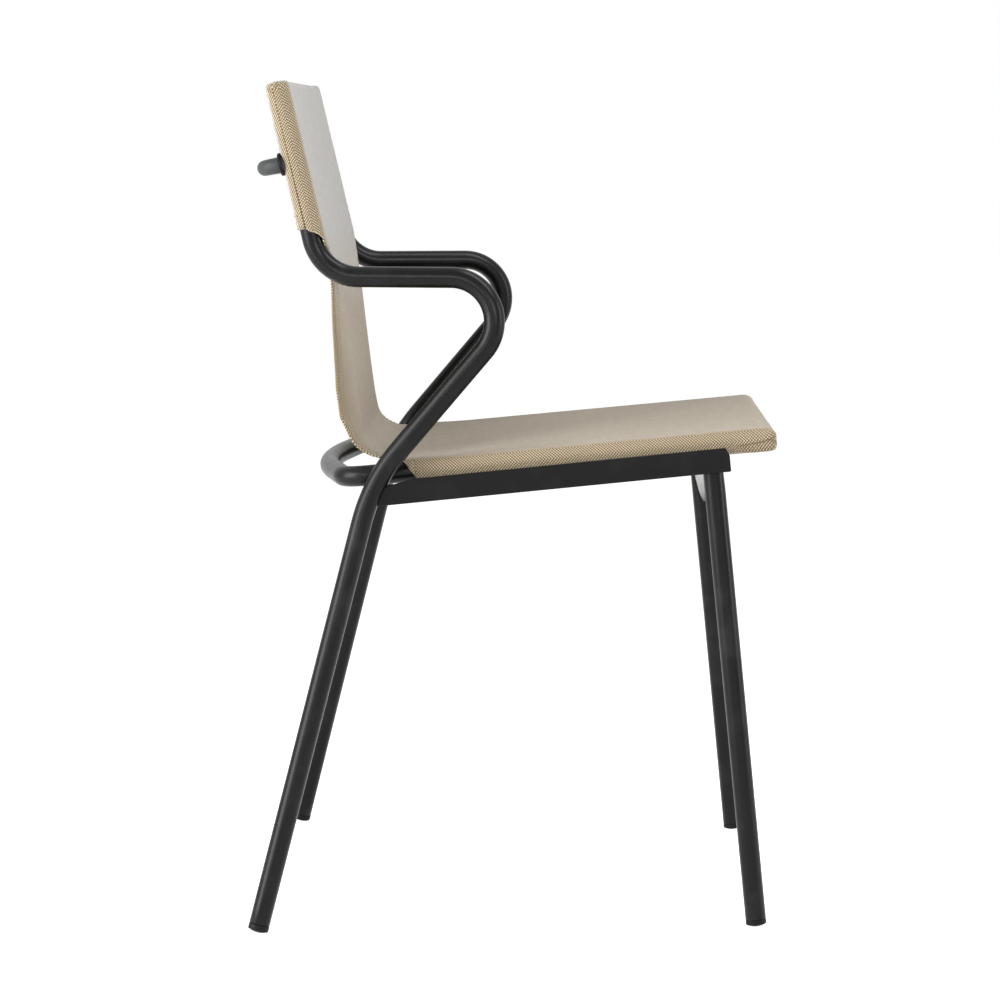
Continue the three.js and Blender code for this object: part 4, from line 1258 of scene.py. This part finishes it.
for label, side in (("right", -1), ("left", 1)):
    c, t = cloth, seamSettings
    seamTurn = math.pi / 2 + c["seamTurn"]
    face = c["thickness"] / 2
    ridge = Vector((side, 0, 0)) * math.sin(seamTurn) + backFront * math.cos(seamTurn)
    run = [crownSpot(side, seamTurn, a, face) for a in np.radians(t["pocketRises"])]
    top = uprightPoint(side * s["uprightX"], s["topZ"])
    for d in np.linspace(0, c["pocketDepth"] - t["pocketEnd"], t["pocketPoints"]):
        run.append(top - uprightWay * d + ridge * (c["radius"] + face - t["sink"]))
    makeFibreCord(f"pocketSeam_{label}", run, t["radius"])
    crownRuns = (("Dart", t["dartEnd"] - seamTurn, t["dartRises"]), ("Tuck", t["tuckTurn"], t["tuckRises"]))
    for name, change, rises in crownRuns:
        turns = spread(seamTurn, change, rises[-1])
        run = [crownSpot(side, turn, math.radians(rise), face) for turn, rise in zip(turns, spread(*rises))]
        makeFibreCord(f"crown{name}_{label}", run, t["dartRadius"])
    # The corner fold and tuck cords are painted shade: dark lines where the folded cloth steps.
    run = [noseSpot(side, y, 0, foldTurnAt(y) + t["foldAside"], face)
           for y in np.linspace(t["foldStart"], h["frontY"], t["foldPoints"])]
    run += [noseSpot(side, h["frontY"], a, foldTurnRound(a) + t["foldAside"], face)
            for a in np.radians(t["foldCorners"])]
    makeFibreCord(f"cornerFoldShadeLine_{label}", run, t["foldRadius"])
    run = [noseSpot(side, h["frontY"], math.radians(corner), math.radians(turn), face)
           for corner, turn in zip(spread(*t["tuckCorners"]), spread(*t["tuckTurns"]))]
    makeFibreCord(f"cornerTuckShadeLine_{label}", run, t["foldRadius"])
print("seams made")


# Welds: beads where bars and tubes meet
weldSettings = dict(radius=1.3 * mm, ripple=0.16 * mm, pitch=2.2 * mm, step=0.55 * mm, sides=12,
                    hoopRing=5.2 * mm, ringPoints=24, railInset=0.6 * mm, railLow=1.2 * mm, railHigh=0.6 * mm,
                    searchBend=0.01 * mm, searchStep=1.0 * mm)


def makeWeld(name, points, closed=False):
    w = weldSettings
    points = [Vector(p) for p in points]
    if closed:
        points.append(points[0])
    fine = [points[0]]
    for a, b in zip(points, points[1:]):
        parts = max(1, round((b - a).length / w["step"]))
        fine += [a.lerp(b, k / parts) for k in range(1, parts + 1)]
    ways = [unit(b - a) for a, b in zip([fine[0]] + fine[:-1], fine[1:] + [fine[-1]])]
    distances = pathDistances(list(zip(fine, ways)))
    radii = [w["radius"] + w["ripple"] * math.sin(2 * math.pi * d / w["pitch"]) for d in distances]
    bead = sweepTube(name, list(zip(fine, ways)), w["radius"], weldCoat, sides=w["sides"], radii=radii)
    return dress(bead, "tube")


# The same path with spots close together, for the search.
def densely(path):
    w = weldSettings
    return bentStations([p for p, _ in path], [w["searchBend"]] * (len(path) - 2), 1.0, w["searchStep"])


def closestSpots(first, second):
    a = np.array([p[:] for p, _ in first])
    b = np.array([p[:] for p, _ in second])
    gaps = np.linalg.norm(a[:, None] - b[None], axis=2)
    i, j = np.unravel_index(np.argmin(gaps), gaps.shape)
    return Vector(a[i]), Vector(b[j])


for label, side in (("right", -1), ("left", 1)):
    w, r = weldSettings, railSettings
    sidePath, _, _ = sideStations(side)
    sideSpots, hoopSpots = densely(sidePath), [q for q in densely(hoopStations) if q[0].x * side > 0]
    a, b = closestSpots(sideSpots, hoopSpots)
    middle, way = (a + b) / 2, unit(b - a)
    across = unit(way.cross(Vector((0, 0, 1))))
    up = way.cross(across)
    ring = [middle + (across * math.cos(t) + up * math.sin(t)) * w["hoopRing"]
            for t in np.linspace(0, 2 * math.pi, w["ringPoints"], endpoint=False)]
    makeWeld(f"hoopWeld_{label}", ring, closed=True)
    rear, xWay, yWay, outward = railFrames[label]
    half = r["height"] / 2
    for face, faceName in ((1, "outer"), (-1, "inner")):
        offset = outward * (face * side * -r["thickness"] / 2)
        low = rear + xWay * w["railInset"] - yWay * (half - w["railLow"]) + offset
        high = rear + xWay * w["railInset"] + yWay * (half - r["tailDrop"] - w["railHigh"]) + offset
        makeWeld(f"railWeld_{faceName}_{label}", [low, high])
print("welds made")


# Floor, lights and camera
studio = dict(
    floorSize=40.0, floorColor=0.8, floorRoughness=0.9, floorGlow=0.92, worldDiffuse=0.12, clip=(0.05, 100),
    # name, place, target, (width, height), power
    softboxes=(
        ("rearKey", (-1.3, 2.3, 1.0), (0, 0, 0.5), (1.6, 1.8), 91),
        ("frontKey", (-0.7, -2.7, 1.0), (0, 0, 0.6), (0.6, 1.7), 27),
        ("cameraLeft", (-4.05, 1.5, 1.6), (0, 0, 0.6), (1.5, 0.8), 35),
        ("cameraRight", (-4.15, -1.2, 1.6), (0, 0, 0.6), (1.3, 0.6), 46),
        ("overhead", (-0.5, -0.9, 2.5), (0, -0.05, 0.47), (0.6, 1.9), 36),
    ),
)


def makeStage():
    mesh = bpy.data.meshes.new("studioFloor")
    size = studio["floorSize"]
    corners = [(-size, -size, 0), (size, -size, 0), (size, size, 0), (-size, size, 0)]
    mesh.from_pydata(corners, [], [(0, 1, 2, 3)])
    floor = bpy.data.objects.new("studioFloor", mesh)
    bpy.context.scene.collection.objects.link(floor)
    material, tree, shader = startMaterial("paleFloor")
    wires = Wiring(tree)
    setSockets(shader, Base_Color=(studio["floorColor"],) * 3 + (1.0,), Roughness=studio["floorRoughness"],
               Specular_IOR_Level=0.0, Emission_Color=(1, 1, 1, 1))
    glow = wires.math("MULTIPLY", wires.seenRays(), studio["floorGlow"])
    wires.link(glow, shader.inputs["Emission Strength"])
    mesh.materials.append(material)


def makeWorld():
    world = bpy.data.worlds.new("studioWorld")
    bpy.context.scene.world = world
    world.use_nodes = True
    tree = world.node_tree
    tree.nodes.clear()
    wires = Wiring(tree)
    strength = wires.mapRange(wires.seenRays(), 0.0, 1.0, studio["worldDiffuse"], 1.0)
    background = wires.add("ShaderNodeBackground")
    setSockets(background, Color=(1, 1, 1, 1))
    wires.link(strength, background.inputs["Strength"])
    output = wires.add("ShaderNodeOutputWorld")
    wires.link(background.outputs[0], output.inputs[0])


def makeSoftbox(name, place, target, size, power):
    data = bpy.data.lights.new(name, "AREA")
    data.shape = "RECTANGLE"
    data.size, data.size_y = size
    data.energy = power
    light = bpy.data.objects.new(name, data)
    bpy.context.scene.collection.objects.link(light)
    light.location = place
    light.rotation_mode = "QUATERNION"
    light.rotation_quaternion = (Vector(target) - Vector(place)).to_track_quat("-Z", "Y")
    light.visible_camera = False


def makeCamera():
    c = cameraSettings
    data = bpy.data.cameras.new("photoCamera")
    data.sensor_width = c["sensorWidth"]
    data.lens = c["focalPixels"] / c["framePixels"] * c["sensorWidth"]
    camera = bpy.data.objects.new("photoCamera", data)
    bpy.context.scene.collection.objects.link(camera)
    camera.location = c["place"]
    forward = unit(Vector(c["forward"]))
    right = unit(forward.cross(Vector((0, 0, 1))))
    up = right.cross(forward)
    camera.rotation_mode = "QUATERNION"
    camera.rotation_quaternion = Matrix((right, up, -forward)).transposed().to_quaternion()
    data.clip_start, data.clip_end = studio["clip"]
    bpy.context.scene.camera = camera


makeStage()
makeWorld()
for softbox in studio["softboxes"]:
    makeSoftbox(*softbox)
makeCamera()
scene = bpy.context.scene
scene.view_settings.view_transform = "Standard"
print("stage, lights and camera made")
